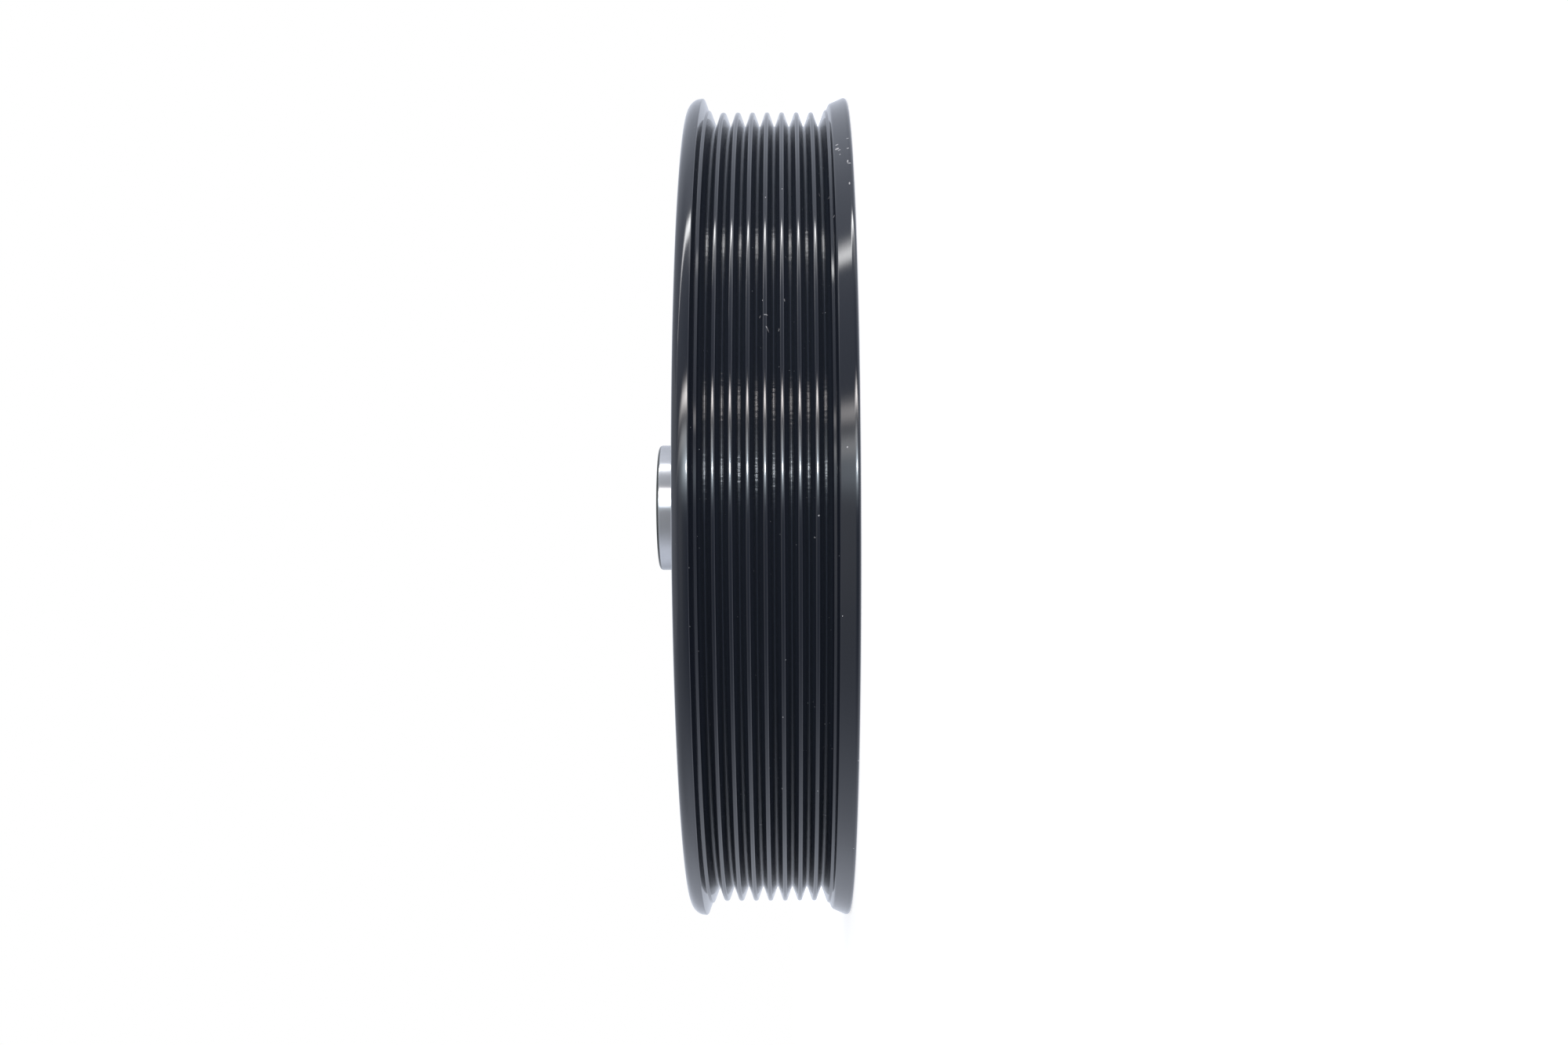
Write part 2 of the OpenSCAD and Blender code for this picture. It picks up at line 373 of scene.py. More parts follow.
class NodeBench:
    """Adds shader nodes to a material or world and joins them.

    Attributes:
        tree: The node tree that is being built.
    """

    def __init__(self, owner: bpy.types.Material | bpy.types.World) -> None:
        """Clears the owner's nodes.

        Args:
            owner: The material or world to build.
        """
        owner.use_nodes = True
        self.tree = owner.node_tree
        self.tree.nodes.clear()

    def node(self, kind: str, inputs: dict | None = None, **settings: object) -> bpy.types.Node:
        """Adds a node.

        Args:
            kind: The node's type, without its ShaderNode prefix.
            inputs: Values or sockets for its inputs, by name or number.
            **settings: Values of the node's own settings.

        Returns:
            The new node.
        """
        made = self.tree.nodes.new("ShaderNode" + kind)
        for name, value in settings.items():
            setattr(made, name, value)
        self.fill_in(made, inputs or {})
        return made

    def fill_in(self, made: bpy.types.Node, inputs: dict) -> None:
        """Sets or joins a node's inputs.

        Args:
            made: The node.
            inputs: Values or sockets for its inputs, by name or number.
        """
        for name, value in inputs.items():
            if isinstance(value, bpy.types.NodeSocket):
                self.tree.links.new(value, made.inputs[name])
            else:
                made.inputs[name].default_value = value

    def math(self, operation: str, *values: Value) -> Socket:
        """Adds a math node.

        Args:
            operation: The operation's name.
            *values: Its one to three inputs, each a number or a socket.

        Returns:
            The result's socket.
        """
        return self.node("Math", dict(enumerate(values)), operation=operation).outputs[0]

    def square_sum(self, first: Socket, second: Socket) -> Socket:
        """Returns the sum of the squares of two values."""
        return self.math("ADD", self.math("POWER", first, 2.0), self.math("POWER", second, 2.0))

    def ramp(self, value: Value, low: float, high: float, start: float = 0.0, end: float = 1.0) -> Socket:
        """Adds a smooth clamped change from one value to another.

        Args:
            value: The socket that drives the change.
            low: Where the change starts.
            high: Where it ends.
            start: The result up to low.
            end: The result from high.

        Returns:
            The result's socket.
        """
        inputs = {"Value": value, "From Min": low, "From Max": high, "To Min": start, "To Max": end}
        return self.node("MapRange", inputs, interpolation_type="SMOOTHSTEP").outputs["Result"]

    def mix(self, share: Socket, first: Colour | Socket, second: Colour | Socket) -> Socket:
        """Mixes two colours.

        Args:
            share: The share of the second colour.
            first: The first colour.
            second: The second colour.

        Returns:
            The mixed colour's socket.
        """
        made = self.node("Mix", data_type="RGBA")
        self.fill_in(made, {0: share, 6: first, 7: second})
        return made.outputs[2]

    def noise(self, vector: Socket, size: float, detail: float = 2.0, roughness: float = 0.5) -> Socket:
        """Adds a noise texture.

        Args:
            vector: The coordinates.
            size: Size of its largest cells, in metres.
            detail: Number of finer layers.
            roughness: Weight of the finer layers.

        Returns:
            The noise's value, around 0.5.
        """
        inputs = {"Vector": vector, "Scale": 1 / size, "Detail": detail, "Roughness": roughness}
        return self.node("TexNoise", inputs, noise_dimensions="3D").outputs["Fac"]

    def bump(self, height: Socket, depth: float, under: Socket | None = None) -> Socket:
        """Turns a height into a normal.

        Args:
            height: The height's socket, from 0 to 1.
            depth: The real depth of a height of 1, in metres.
            under: The normal of a coarser relief below this one.

        Returns:
            The normal's socket.
        """
        inputs = {"Height": height, "Strength": 1.0, "Distance": depth}
        if under is not None:
            inputs["Normal"] = under
        return self.node("Bump", inputs).outputs["Normal"]

    def finish(self, shader: bpy.types.Node, kind: str = "OutputMaterial") -> None:
        """Joins the shader to the output.

        Args:
            shader: The node that ends the tree.
            kind: The output node's type.
        """
        self.node(kind, {"Surface": shader.outputs[0]})


@dataclass(frozen=True)
class RoundPlace:
    """Sockets that say where a point lies on a turned piece.

    Attributes:
        vector: The point itself.
        across: Unit direction from the axis, by its X and Y.
        radius: Distance from the axis.
        height: Height above the front face.
        bearing: Angle about the axis, 0 on the -Y side and growing towards +X, in radians.
    """

    vector: Socket
    across: tuple[Socket, Socket]
    radius: Socket
    height: Socket
    bearing: Socket

    @classmethod
    def of(cls, bench: NodeBench) -> "RoundPlace":
        """Builds the sockets from the piece's own coordinates.

        Args:
            bench: The bench that holds the material's nodes.

        Returns:
            The place's sockets.
        """
        vector = bench.node("TexCoord").outputs["Object"]
        parts = bench.node("SeparateXYZ", {0: vector}).outputs
        radius = bench.math("SQRT", bench.square_sum(parts["X"], parts["Y"]))
        across = (bench.math("DIVIDE", parts["X"], radius), bench.math("DIVIDE", parts["Y"], radius))
        bearing = bench.math("ARCTAN2", parts["X"], bench.math("MULTIPLY", parts["Y"], -1.0))
        return cls(vector, across, radius, parts["Z"], bearing)


def turning_marks(bench: NodeBench, place: RoundPlace, pitch: float, wander: float) -> Socket:
    """Draws the fine grooves of a turning tool, which run round the axis.

    Args:
        bench: The bench that holds the material's nodes.
        place: Where the point lies.
        pitch: Mean distance from one mark to the next, in metres.
        wander: How often the marks change along the way round.

    Returns:
        The marks' height, around 0.5.
    """
    fine = 1.0 / pitch
    stretched = ((place.across[0], wander), (place.across[1], wander), (place.height, fine))
    parts = [bench.math("MULTIPLY", value, factor) for value, factor in stretched]
    vector = bench.node("CombineXYZ", dict(enumerate(parts))).outputs[0]
    outwards = bench.math("MULTIPLY", place.radius, fine)
    inputs = {"Vector": vector, "W": outwards, "Scale": 1.0, "Detail": 1.0}
    return bench.node("TexNoise", inputs, noise_dimensions="4D").outputs["Fac"]


def specks(bench: NodeBench, place: RoundPlace, spacing: float, size: float) -> Socket:
    """Scatters specks of dust, and leaves a share of CLEAN_SHARE of their cells clean.

    Args:
        bench: The bench that holds the material's nodes.
        place: Where the point lies.
        spacing: Mean distance between the cells that may hold a speck, in metres.
        size: Radius of the largest speck, in metres.

    Returns:
        1 on a speck and 0 elsewhere.
    """
    inputs = {"Vector": place.vector, "Scale": 1.0 / spacing}
    cells = bench.node("TexVoronoi", inputs, voronoi_dimensions="3D")
    chance = bench.node("SeparateColor", {0: cells.outputs["Color"]}).outputs
    reach = bench.math("MULTIPLY", chance["Red"], size / spacing)
    near = bench.math("LESS_THAN", cells.outputs["Distance"], reach)
    return bench.math("MULTIPLY", near, bench.math("GREATER_THAN", chance["Green"], CLEAN_SHARE))


@dataclass(frozen=True)
class Nick:
    """A small scratch or knock in the coat, on the side that faces the camera.

    Attributes:
        bearing_deg: Angle about the axis, 0 on the -Y side and growing towards +X.
        height: Height above the front face, in millimetres.
        length: Length, in millimetres.
        width: Width, in millimetres.
        lean_deg: Lean from the way round towards the axis's direction.
    """

    bearing_deg: float
    height: float
    length: float
    width: float
    lean_deg: float = 0.0

    def mask(self, bench: NodeBench, place: RoundPlace, radius: float) -> Socket:
        """Draws the nick, at full strength out to NICK_CORE of its squared reach.

        Args:
            bench: The bench that holds the material's nodes.
            place: Where the point lies.
            radius: Radius of the surface that carries the nick, in metres.

        Returns:
            1 in the middle of the nick, down to 0 at its edge and beyond.
        """
        off = bench.math("SUBTRACT", place.bearing, math.radians(self.bearing_deg))
        round_way = bench.math("MULTIPLY", off, radius / MM)
        up_way = bench.math("SUBTRACT", bench.math("DIVIDE", place.height, MM), self.height)
        lean = math.radians(self.lean_deg)
        along = bench.math(
            "ADD",
            bench.math("MULTIPLY", round_way, math.cos(lean) * 2 / self.length),
            bench.math("MULTIPLY", up_way, math.sin(lean) * 2 / self.length),
        )
        over = bench.math(
            "SUBTRACT",
            bench.math("MULTIPLY", up_way, math.cos(lean) * 2 / self.width),
            bench.math("MULTIPLY", round_way, math.sin(lean) * 2 / self.width),
        )
        return bench.ramp(bench.square_sum(along, over), NICK_CORE, 1.0, 1.0, 0.0)


@dataclass(frozen=True)
class Finish:
    """The finish of a surface.

    Attributes:
        name: The material's name.
    """

    name: str

    def shader(self, bench: NodeBench) -> bpy.types.Node:
        """Adds the finish's nodes.

        Args:
            bench: The bench that holds the material's nodes.

        Returns:
            The shader that ends them.
        """
        raise NotImplementedError

    def material(self) -> bpy.types.Material:
        """Builds the material.

        Returns:
            The finish's material.
        """
        made = bpy.data.materials.new(self.name)
        bench = NodeBench(made)
        bench.finish(self.shader(bench))
        return made


@dataclass(frozen=True)
class GlossBlackCoat(Finish):
    """Glossy black coat on the turned ring.

    Attributes:
        colour: Colour of the coat's body.
        groove_painted_light_colour: Lighter colour painted deep in the grooves, a painted light that
            offsets the shade there.
        groove_low_r: Radius below which the coat has that lighter painted colour.
        groove_high_r: Radius above which it has its own.
        body_roughness: Roughness of the haze below the gloss.
        body_shine: Specular level of that haze.
        gloss_roughness: Roughness of the gloss itself.
        peel: Size of the orange peel.
        peel_depth: Depth of the orange peel.
        pool_low_r: Radius below which the paint has pooled unevenly in the grooves.
        pool_high_r: Radius above which it hasn't.
        pool: Size of the unevenness there.
        pool_depth: Depth of that unevenness.
        mark_pitch: Distance between turning marks that show through the coat.
        mark_depth: Depth of those marks.
        mark_wander: How often they change along the way round.
        dust_colour: Colour of the dust and of the knocks.
        dust_spacing: Distance between specks of dust.
        dust_size: Radius of the largest speck.
        dust_roughness: What the dust adds to the roughness.
        nicks: The small knocks and scratches.
        nick_radius: Radius of the surface that carries them.
        nick_rag: Size of the raggedness of their edges.
        rag_range: Noise values at which that raggedness starts and ends.
        nick_strength: How far a knock hides the coat.
    """

    name: str = "gloss_black_coat"
    colour: Colour = (0.0060, 0.0073, 0.0110, 1.0)
    groove_painted_light_colour: Colour = (0.0125, 0.0150, 0.0210, 1.0)
    groove_low_r: float = 98.0 * MM
    groove_high_r: float = 98.9 * MM
    body_roughness: float = 0.34
    body_shine: float = 0.03
    gloss_roughness: float = 0.06
    peel: float = 1.3 * MM
    peel_depth: float = 1.6 * MICRON
    pool_low_r: float = 96.2 * MM
    pool_high_r: float = 98.2 * MM
    pool: float = 0.8 * MM
    pool_depth: float = 30 * MICRON
    mark_pitch: float = 0.11 * MM
    mark_depth: float = 2.2 * MICRON
    mark_wander: float = 5.0
    dust_colour: Colour = (0.30, 0.29, 0.29, 1.0)
    dust_spacing: float = 2.4 * MM
    dust_size: float = 0.13 * MM
    dust_roughness: float = 0.4
    nicks: tuple[Nick, ...] = (
        Nick(52.7, 3.4, 0.5, 0.8),
        Nick(51.6, 3.4, 1.0, 1.0),
        Nick(51.1, 2.95, 0.5, 0.7),
        Nick(49.9, 2.85, 0.5, 0.35),
        Nick(53.4, 1.0, 0.35, 0.7),
        Nick(50.7, 1.1, 0.7, 0.55),
        Nick(47.6, 1.25, 1.4, 0.4),
        Nick(47.1, 0.95, 0.5, 0.85),
        Nick(42.9, 1.1, 1.0, 0.35),
        Nick(44.6, 7.5, 0.55, 0.45),
        Nick(38.2, 4.6, 0.45, 0.4),
        Nick(6.8, 2.7, 0.4, 0.4),
        Nick(-1.0, 8.45, 0.4, 0.4),
        Nick(-3.6, 9.3, 0.4, 0.4),
        Nick(21.9, 18.75, 1.25, 0.3, 34.0),
        Nick(23.7, 19.1, 0.3, 0.9),
        Nick(23.9, 20.3, 0.6, 0.3),
        Nick(21.8, 16.4, 0.7, 0.3),
        Nick(25.8, 15.2, 0.7, 0.3),
    )
    nick_radius: float = 99.0 * MM
    nick_rag: float = 0.25 * MM
    rag_range: tuple[float, float] = (0.25, 0.5)
    nick_strength: float = 0.65

    def dirt(self, bench: NodeBench, place: RoundPlace) -> Socket:
        """Draws the dust and the nicks, which have ragged edges.

        Args:
            bench: The bench that holds the material's nodes.
            place: Where the point lies.

        Returns:
            1 on dust, less on a nick and 0 elsewhere.
        """
        dust = specks(bench, place, self.dust_spacing, self.dust_size)
        marks = reduce(
            lambda total, mask: bench.math("MAXIMUM", total, mask),
            [nick.mask(bench, place, self.nick_radius) for nick in self.nicks],
        )
        rag = bench.noise(place.vector, self.nick_rag)
        ragged = bench.ramp(rag, *self.rag_range, 0.0, self.nick_strength)
        return bench.math("MAXIMUM", dust, bench.math("MULTIPLY", marks, ragged))

    def relief(self, bench: NodeBench, place: RoundPlace) -> Socket:
        """Lays the turning marks over the pooled paint and the orange peel.

        Args:
            bench: The bench that holds the material's nodes.
            place: Where the point lies.

        Returns:
            The normal of the coat.
        """
        peel = bench.bump(bench.noise(place.vector, self.peel, detail=1.0), self.peel_depth)
        pooled = bench.ramp(place.radius, self.pool_low_r, self.pool_high_r, 1.0, 0.0)
        uneven = bench.math("MULTIPLY", bench.noise(place.vector, self.pool), pooled)
        marks = turning_marks(bench, place, self.mark_pitch, self.mark_wander)
        return bench.bump(marks, self.mark_depth, bench.bump(uneven, self.pool_depth, peel))

    def shader(self, bench: NodeBench) -> bpy.types.Node:
        """Adds the coat's nodes.

        Args:
            bench: The bench that holds the material's nodes.

        Returns:
            The coat's shader.
        """
        place = RoundPlace.of(bench)
        dirt = self.dirt(bench, place)
        normal = self.relief(bench, place)
        # Painted light: the coat gets a lighter colour deep in the grooves, to offset the shade that falls
        # there.
        groove_painted_light = bench.ramp(place.radius, self.groove_low_r, self.groove_high_r, 1.0, 0.0)
        coat = bench.mix(groove_painted_light, self.colour, self.groove_painted_light_colour)
        dulled = bench.math("MULTIPLY", dirt, self.dust_roughness)
        return bench.node("BsdfPrincipled", {
            "Base Color": bench.mix(dirt, coat, self.dust_colour),
            "Roughness": bench.math("ADD", self.body_roughness, dulled),
            "Specular IOR Level": self.body_shine,
            "Normal": normal,
            "Coat Weight": 1.0,
            "Coat Roughness": self.gloss_roughness,
            "Coat IOR": LACQUER_IOR,
            "Coat Normal": normal,
        })


@dataclass(frozen=True)
class CastBlackCoat(Finish):
    """Satin black coat on the rough casting of the hub.

    Attributes:
        colour: Colour of the coat.
        worn_colour: Colour where the coat is thin on the grain's peaks.
        grain: Size of the casting's sand grain.
        grain_depth: Depth of that grain.
        peak_range: Noise values at which a grain's worn peak starts and is full.
        swell: Size of the casting's uneven swells.
        swell_depth: Depth of those swells.
        swell_range: Noise values at which the roughness is least and greatest.
        roughness: Least and greatest roughness, which change with the swells.
        gloss: Share of the coat that is glossy.
        gloss_roughness: Roughness of that share.
        dust_colour: Colour of the dust.
        dust_spacing: Distance between specks of dust.
        dust_size: Radius of the largest speck.
    """

    name: str = "cast_black_coat"
    colour: Colour = (0.010, 0.0105, 0.012, 1.0)
    worn_colour: Colour = (0.026, 0.026, 0.028, 1.0)
    grain: float = 1.1 * MM
    grain_depth: float = 60 * MICRON
    peak_range: tuple[float, float] = (0.5, 0.75)
    swell: float = 9 * MM
    swell_depth: float = 360 * MICRON
    swell_range: tuple[float, float] = (0.3, 0.7)
    roughness: tuple[float, float] = (0.36, 0.48)
    gloss: float = 0.35
    gloss_roughness: float = 0.22
    dust_colour: Colour = (0.2, 0.2, 0.2, 1.0)
    dust_spacing: float = 2.6 * MM
    dust_size: float = 0.15 * MM

    def shader(self, bench: NodeBench) -> bpy.types.Node:
        """Adds the coated casting's nodes.

        Args:
            bench: The bench that holds the material's nodes.

        Returns:
            The coated casting's shader.
        """
        place = RoundPlace.of(bench)
        grain = bench.noise(place.vector, self.grain, detail=3.0, roughness=0.55)
        swell = bench.noise(place.vector, self.swell)
        coat = bench.mix(bench.ramp(grain, *self.peak_range), self.colour, self.worn_colour)
        dust = specks(bench, place, self.dust_spacing, self.dust_size)
        return bench.node("BsdfPrincipled", {
            "Base Color": bench.mix(dust, coat, self.dust_colour),
            "Roughness": bench.ramp(swell, *self.swell_range, *self.roughness),
            "Normal": bench.bump(grain, self.grain_depth, bench.bump(swell, self.swell_depth)),
            "Coat Weight": self.gloss,
            "Coat Roughness": self.gloss_roughness,
        })


@dataclass(frozen=True)
class TurnedSteel(Finish):
    """Bare turned metal of the snout, bore and bolt seat.

    Attributes:
        colour: Colour of the clean metal.
        dull_colour: Colour of the faint stains.
        stain: Size of those stains.
        stain_range: Noise values at which a stain starts and is full.
        snout_end_dark_colour: Dark colour laid on the snout's rounded end.
        edge_low: Height at which that dark colour starts.
        edge_high: Height from which it is full.
        edge_in_r: Radius outside which it is full.
        edge_fade: Width over which it fades towards the axis.
        shine: Share of clean metal under its dull film.
        roughness: Roughness of the clean and of the stained metal.
        stretch: How far the turning marks stretch a highlight across them.
        mark_pitch: Distance between turning marks.
        mark_depth: Depth of those marks.
        mark_wander: How often they change along the way round.
    """

    name: str = "turned_steel"
    colour: Colour = (0.43, 0.435, 0.45, 1.0)
    dull_colour: Colour = (0.412, 0.417, 0.431, 1.0)
    stain: float = 3.5 * MM
    stain_range: tuple[float, float] = (0.42, 0.68)
    snout_end_dark_colour: Colour = (0.045, 0.05, 0.046, 1.0)
    edge_low: float = 46.7 * MM
    edge_high: float = 47.05 * MM
    edge_in_r: float = 15.2 * MM
    edge_fade: float = 0.2 * MM
    shine: float = 0.62
    roughness: tuple[float, float] = (0.20, 0.22)
    stretch: float = 0.6
    mark_pitch: float = 0.13 * MM
    mark_depth: float = 1.3 * MICRON
    mark_wander: float = 4.0

    def shader(self, bench: NodeBench) -> bpy.types.Node:
        """Adds the bare metal's nodes.

        Args:
            bench: The bench that holds the material's nodes.

        Returns:
            The bare metal's shader.
        """
        place = RoundPlace.of(bench)
        clouds = bench.noise(place.vector, self.stain, detail=4.0, roughness=0.6)
        stains = bench.ramp(clouds, *self.stain_range)
        marks = turning_marks(bench, place, self.mark_pitch, self.mark_wander)
        # The snout's rounded end is coloured dark, between edge_low and edge_high and outside edge_in_r.
        end = bench.ramp(place.height, self.edge_low, self.edge_high)
        outside = bench.ramp(place.radius, self.edge_in_r - self.edge_fade, self.edge_in_r)
        metal = bench.mix(stains, self.colour, self.dull_colour)
        return bench.node("BsdfPrincipled", {
            "Base Color": bench.mix(bench.math("MULTIPLY", end, outside), metal, self.snout_end_dark_colour),
            "Metallic": self.shine,
            "Roughness": bench.ramp(stains, 0.0, 1.0, *self.roughness),
            "Anisotropic": self.stretch,
            "Anisotropic Rotation": QUARTER_TURN,
            "Tangent": bench.node("Tangent", direction_type="RADIAL", axis="Z").outputs[0],
            "Normal": bench.bump(marks, self.mark_depth),
        })


@dataclass(frozen=True)
class BlackRubber(Finish):
    """Matte moulded rubber between the ring and the hub.

    Attributes:
        colour: Colour of the rubber.
        bloom_colour: Colour of the pale bloom on its surface.
        bloom: Size of the bloom's patches.
        bloom_range: Noise values at which a patch starts and is full.
        grain: Size of the rubber's fine grain.
        grain_depth: Depth of that grain.
        roughness: Roughness of the rubber.
        sheen: Its specular level.
    """

    name: str = "black_rubber"
    colour: Colour = (0.014, 0.014, 0.015, 1.0)
    bloom_colour: Colour = (0.045, 0.044, 0.043, 1.0)
    bloom: float = 6 * MM
    bloom_range: tuple[float, float] = (0.4, 0.75)
    grain: float = 0.5 * MM
    grain_depth: float = 18 * MICRON
    roughness: float = 0.72
    sheen: float = 0.35

    def shader(self, bench: NodeBench) -> bpy.types.Node:
        """Adds the rubber's nodes.

        Args:
            bench: The bench that holds the material's nodes.

        Returns:
            The rubber's shader.
        """
        vector = bench.node("TexCoord").outputs["Object"]
        bloom = bench.ramp(bench.noise(vector, self.bloom, detail=3.0), *self.bloom_range)
        return bench.node("BsdfPrincipled", {
            "Base Color": bench.mix(bloom, self.colour, self.bloom_colour),
            "Roughness": self.roughness,
            "Specular IOR Level": self.sheen,
            "Normal": bench.bump(bench.noise(vector, self.grain), self.grain_depth),
        })


@dataclass(frozen=True)
class PaleFloor(Finish):
    """Pale matte floor that glows, as a lit glass table top does, and is clear from below.

    Attributes:
        colour: Colour of the floor.
        glow: Light that comes through it.
        roughness: Roughness of the floor.
        sheen: Its specular level.
    """

    name: str = "pale_floor"
    colour: Colour = (0.4, 0.4, 0.4, 1.0)
    glow: float = 0.72
    roughness: float = 0.9
    sheen: float = 0.1

    def shader(self, bench: NodeBench) -> bpy.types.Node:
        """Adds the floor's nodes.

        Args:
            bench: The bench that holds the material's nodes.

        Returns:
            The floor's shader.
        """
        top = bench.node("BsdfPrincipled", {
            "Base Color": self.colour,
            "Roughness": self.roughness,
            "Specular IOR Level": self.sheen,
            "Emission Color": WHITE,
            "Emission Strength": self.glow,
        })
        underside = bench.node("NewGeometry").outputs["Backfacing"]
        clear = bench.node("BsdfTransparent")
        return bench.node("MixShader", {0: underside, 1: top.outputs[0], 2: clear.outputs[0]})


@dataclass
class PulleyRing:
    """The ring that carries the belt: eight grooves between two flanges.

    Attributes:
        crest_r: Radius of the rear flange's crest.
        width: Width from the front face to the rear face.
        groove_count: Number of belt grooves.
        groove_pitch: Distance from one groove to the next.
        groove_angle_deg: Angle between the flanks of a groove.
        land_w: Width of the land on each rib, before its corners are rounded.
        land_round: Radius on the corners of a land.
        shoulder_round: Radius at the edge and at the foot of a shoulder.
        root_round: Radius at the bottom of a groove.
        shoulder_lift: Height of a shoulder's edge above the ribs, on a groove's lengthened flank.
        shoulder_w: Width of the shoulder that lies between that flank and a flange.
        shoulder_rise_deg: Rise of a shoulder towards its flange.
        front_flange_w: Width from the last rib to the front face.
        front_step_h: Height of the steep step above the ribs.
        front_step_w: Width from the shoulder to the top of that step.
        front_step_round: Radius on top of that step.
        front_land_rise_deg: Rise of the slanting land above the axis's direction.
        front_corner_round: Radius on the front corner.
        rear_flange_w: Width from the last rib to the rear face.
        rear_crest_h: Height of the crest above the ribs.
        rear_flank_w: Width from the shoulder to the crest.
        rear_crest_round: Radius on the crest's inner edge.
        rear_corner_round: Radius of the large outer round.
        bore: The rubber whose outer wall the bore holds.
        bore_edge: Chamfer at both ends of the bore.
        edge_round: Radius that breaks a chamfer's corners.
    """

    crest_r: float
    width: float
    bore: "RubberRing"
    groove_count: int = 8
    groove_pitch: float = 3.56 * MM
    groove_angle_deg: float = 40.0
    land_w: float = 0.85 * MM
    land_round: float = 0.5 * MM
    shoulder_round: float = 0.12 * MM
    root_round: float = 0.22 * MM
    shoulder_lift: float = 0.35 * MM
    shoulder_w: float = 0.57 * MM
    shoulder_rise_deg: float = 25.0
    front_flange_w: float = 5.06 * MM
    front_step_h: float = 1.95 * MM
    front_step_w: float = 0.58 * MM
    front_step_round: float = 0.8 * MM
    front_land_rise_deg: float = 23.0
    front_corner_round: float = 0.85 * MM
    rear_flange_w: float = 4.81 * MM
    rear_crest_h: float = 3.35 * MM
    rear_flank_w: float = 0.97 * MM
    rear_crest_round: float = 0.3 * MM
    rear_corner_round: float = 3.2 * MM
    bore_edge: float = 1.0 * MM
    edge_round: float = 0.15 * MM

    @property
    def rib_r(self) -> float:
        """Radius over the ribs."""
        return self.crest_r - self.rear_crest_h

    def shoulder(self, rib_middle: float, away: float) -> tuple[Corner, Corner]:
        """Finds the corners of the shoulder beside a flange.

        Args:
            rib_middle: Height of the middle of the land that would lie there between two grooves.
            away: Direction from the grooves towards the flange, 1 or -1.

        Returns:
            The shoulder's edge beside the groove and its foot beside the flange.
        """
        flank = math.tan(math.radians(self.groove_angle_deg / 2))
        edge = rib_middle + away * (self.shoulder_lift * flank - self.land_w / 2)
        rise = self.shoulder_w * math.tan(math.radians(self.shoulder_rise_deg))
        edge_r = self.rib_r + self.shoulder_lift
        foot = Corner(edge_r + rise, edge + away * self.shoulder_w, self.shoulder_round)
        return Corner(edge_r, edge, self.shoulder_round), foot

    def grooves(self) -> list[Corner]:
        """Follows the grooves and the ribs between them.

        Returns:
            Their corners, from front to rear.
        """
        half_w = (self.groove_pitch - self.land_w) / 2
        apex_r = self.rib_r - half_w / math.tan(math.radians(self.groove_angle_deg / 2))
        corners = []
        for i in range(self.groove_count):
            middle = self.front_flange_w + (i + 0.5) * self.groove_pitch
            corners.append(Corner(self.rib_r, middle - half_w, self.land_round))
            corners.append(Corner(apex_r, middle, self.root_round))
            corners.append(Corner(self.rib_r, middle + half_w, self.land_round))
        return corners[1:-1]

    def front_flange(self) -> list[Corner]:
        """Follows the front flange.

        Returns:
            Its corners, from the front face to the ribs.
        """
        edge, foot = self.shoulder(self.front_flange_w, -1.0)
        top = foot.height - self.front_step_w
        top_r = self.rib_r + self.front_step_h
        face_r = top_r + top * math.tan(math.radians(self.front_land_rise_deg))
        return [
            Corner(face_r, 0.0, self.front_corner_round),
            Corner(top_r, top, self.front_step_round),
            foot,
            edge,
        ]

    def rear_flange(self) -> list[Corner]:
        """Follows the rear flange.

        Returns:
            Its corners, from the ribs to the rear face.
        """
        edge, foot = self.shoulder(self.width - self.rear_flange_w, 1.0)
        return [
            edge,
            foot,
            Corner(self.crest_r, foot.height + self.rear_flank_w, self.rear_crest_round),
            Corner(self.crest_r, self.width, self.rear_corner_round),
        ]

    def bore_wall(self) -> list[Corner]:
        """Follows the bore, which bows with the rubber.

        Returns:
            Its corners, from the rear face to the front face.
        """
        wall_r = self.bore.middle_r + self.bore.thickness / 2
        edge = self.bore_edge
        return [
            Corner(wall_r + edge, self.width, self.edge_round),
            Corner(wall_r, self.width - edge, self.edge_round),
            *reversed(self.bore.wall(1.0)),
            Corner(wall_r, edge, self.edge_round),
            Corner(wall_r + edge, 0.0, self.edge_round),
        ]

    def build(self) -> bpy.types.Object:
        """Turns the ring.

        Returns:
            The ring's piece.
        """
        outline = [*self.front_flange(), *self.grooves(), *self.rear_flange(), *self.bore_wall()]
        return turned_piece("grooved_ring", outline)

    def dress(self, piece: bpy.types.Object, coat: GlossBlackCoat) -> None:
        """Gives the ring its coat and its place in the frame.

        Args:
            piece: The ring's piece.
            coat: The coat's finish.
        """
        piece.data.materials.append(coat.material())
        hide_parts("pulley_ring")
        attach(piece, BODY)


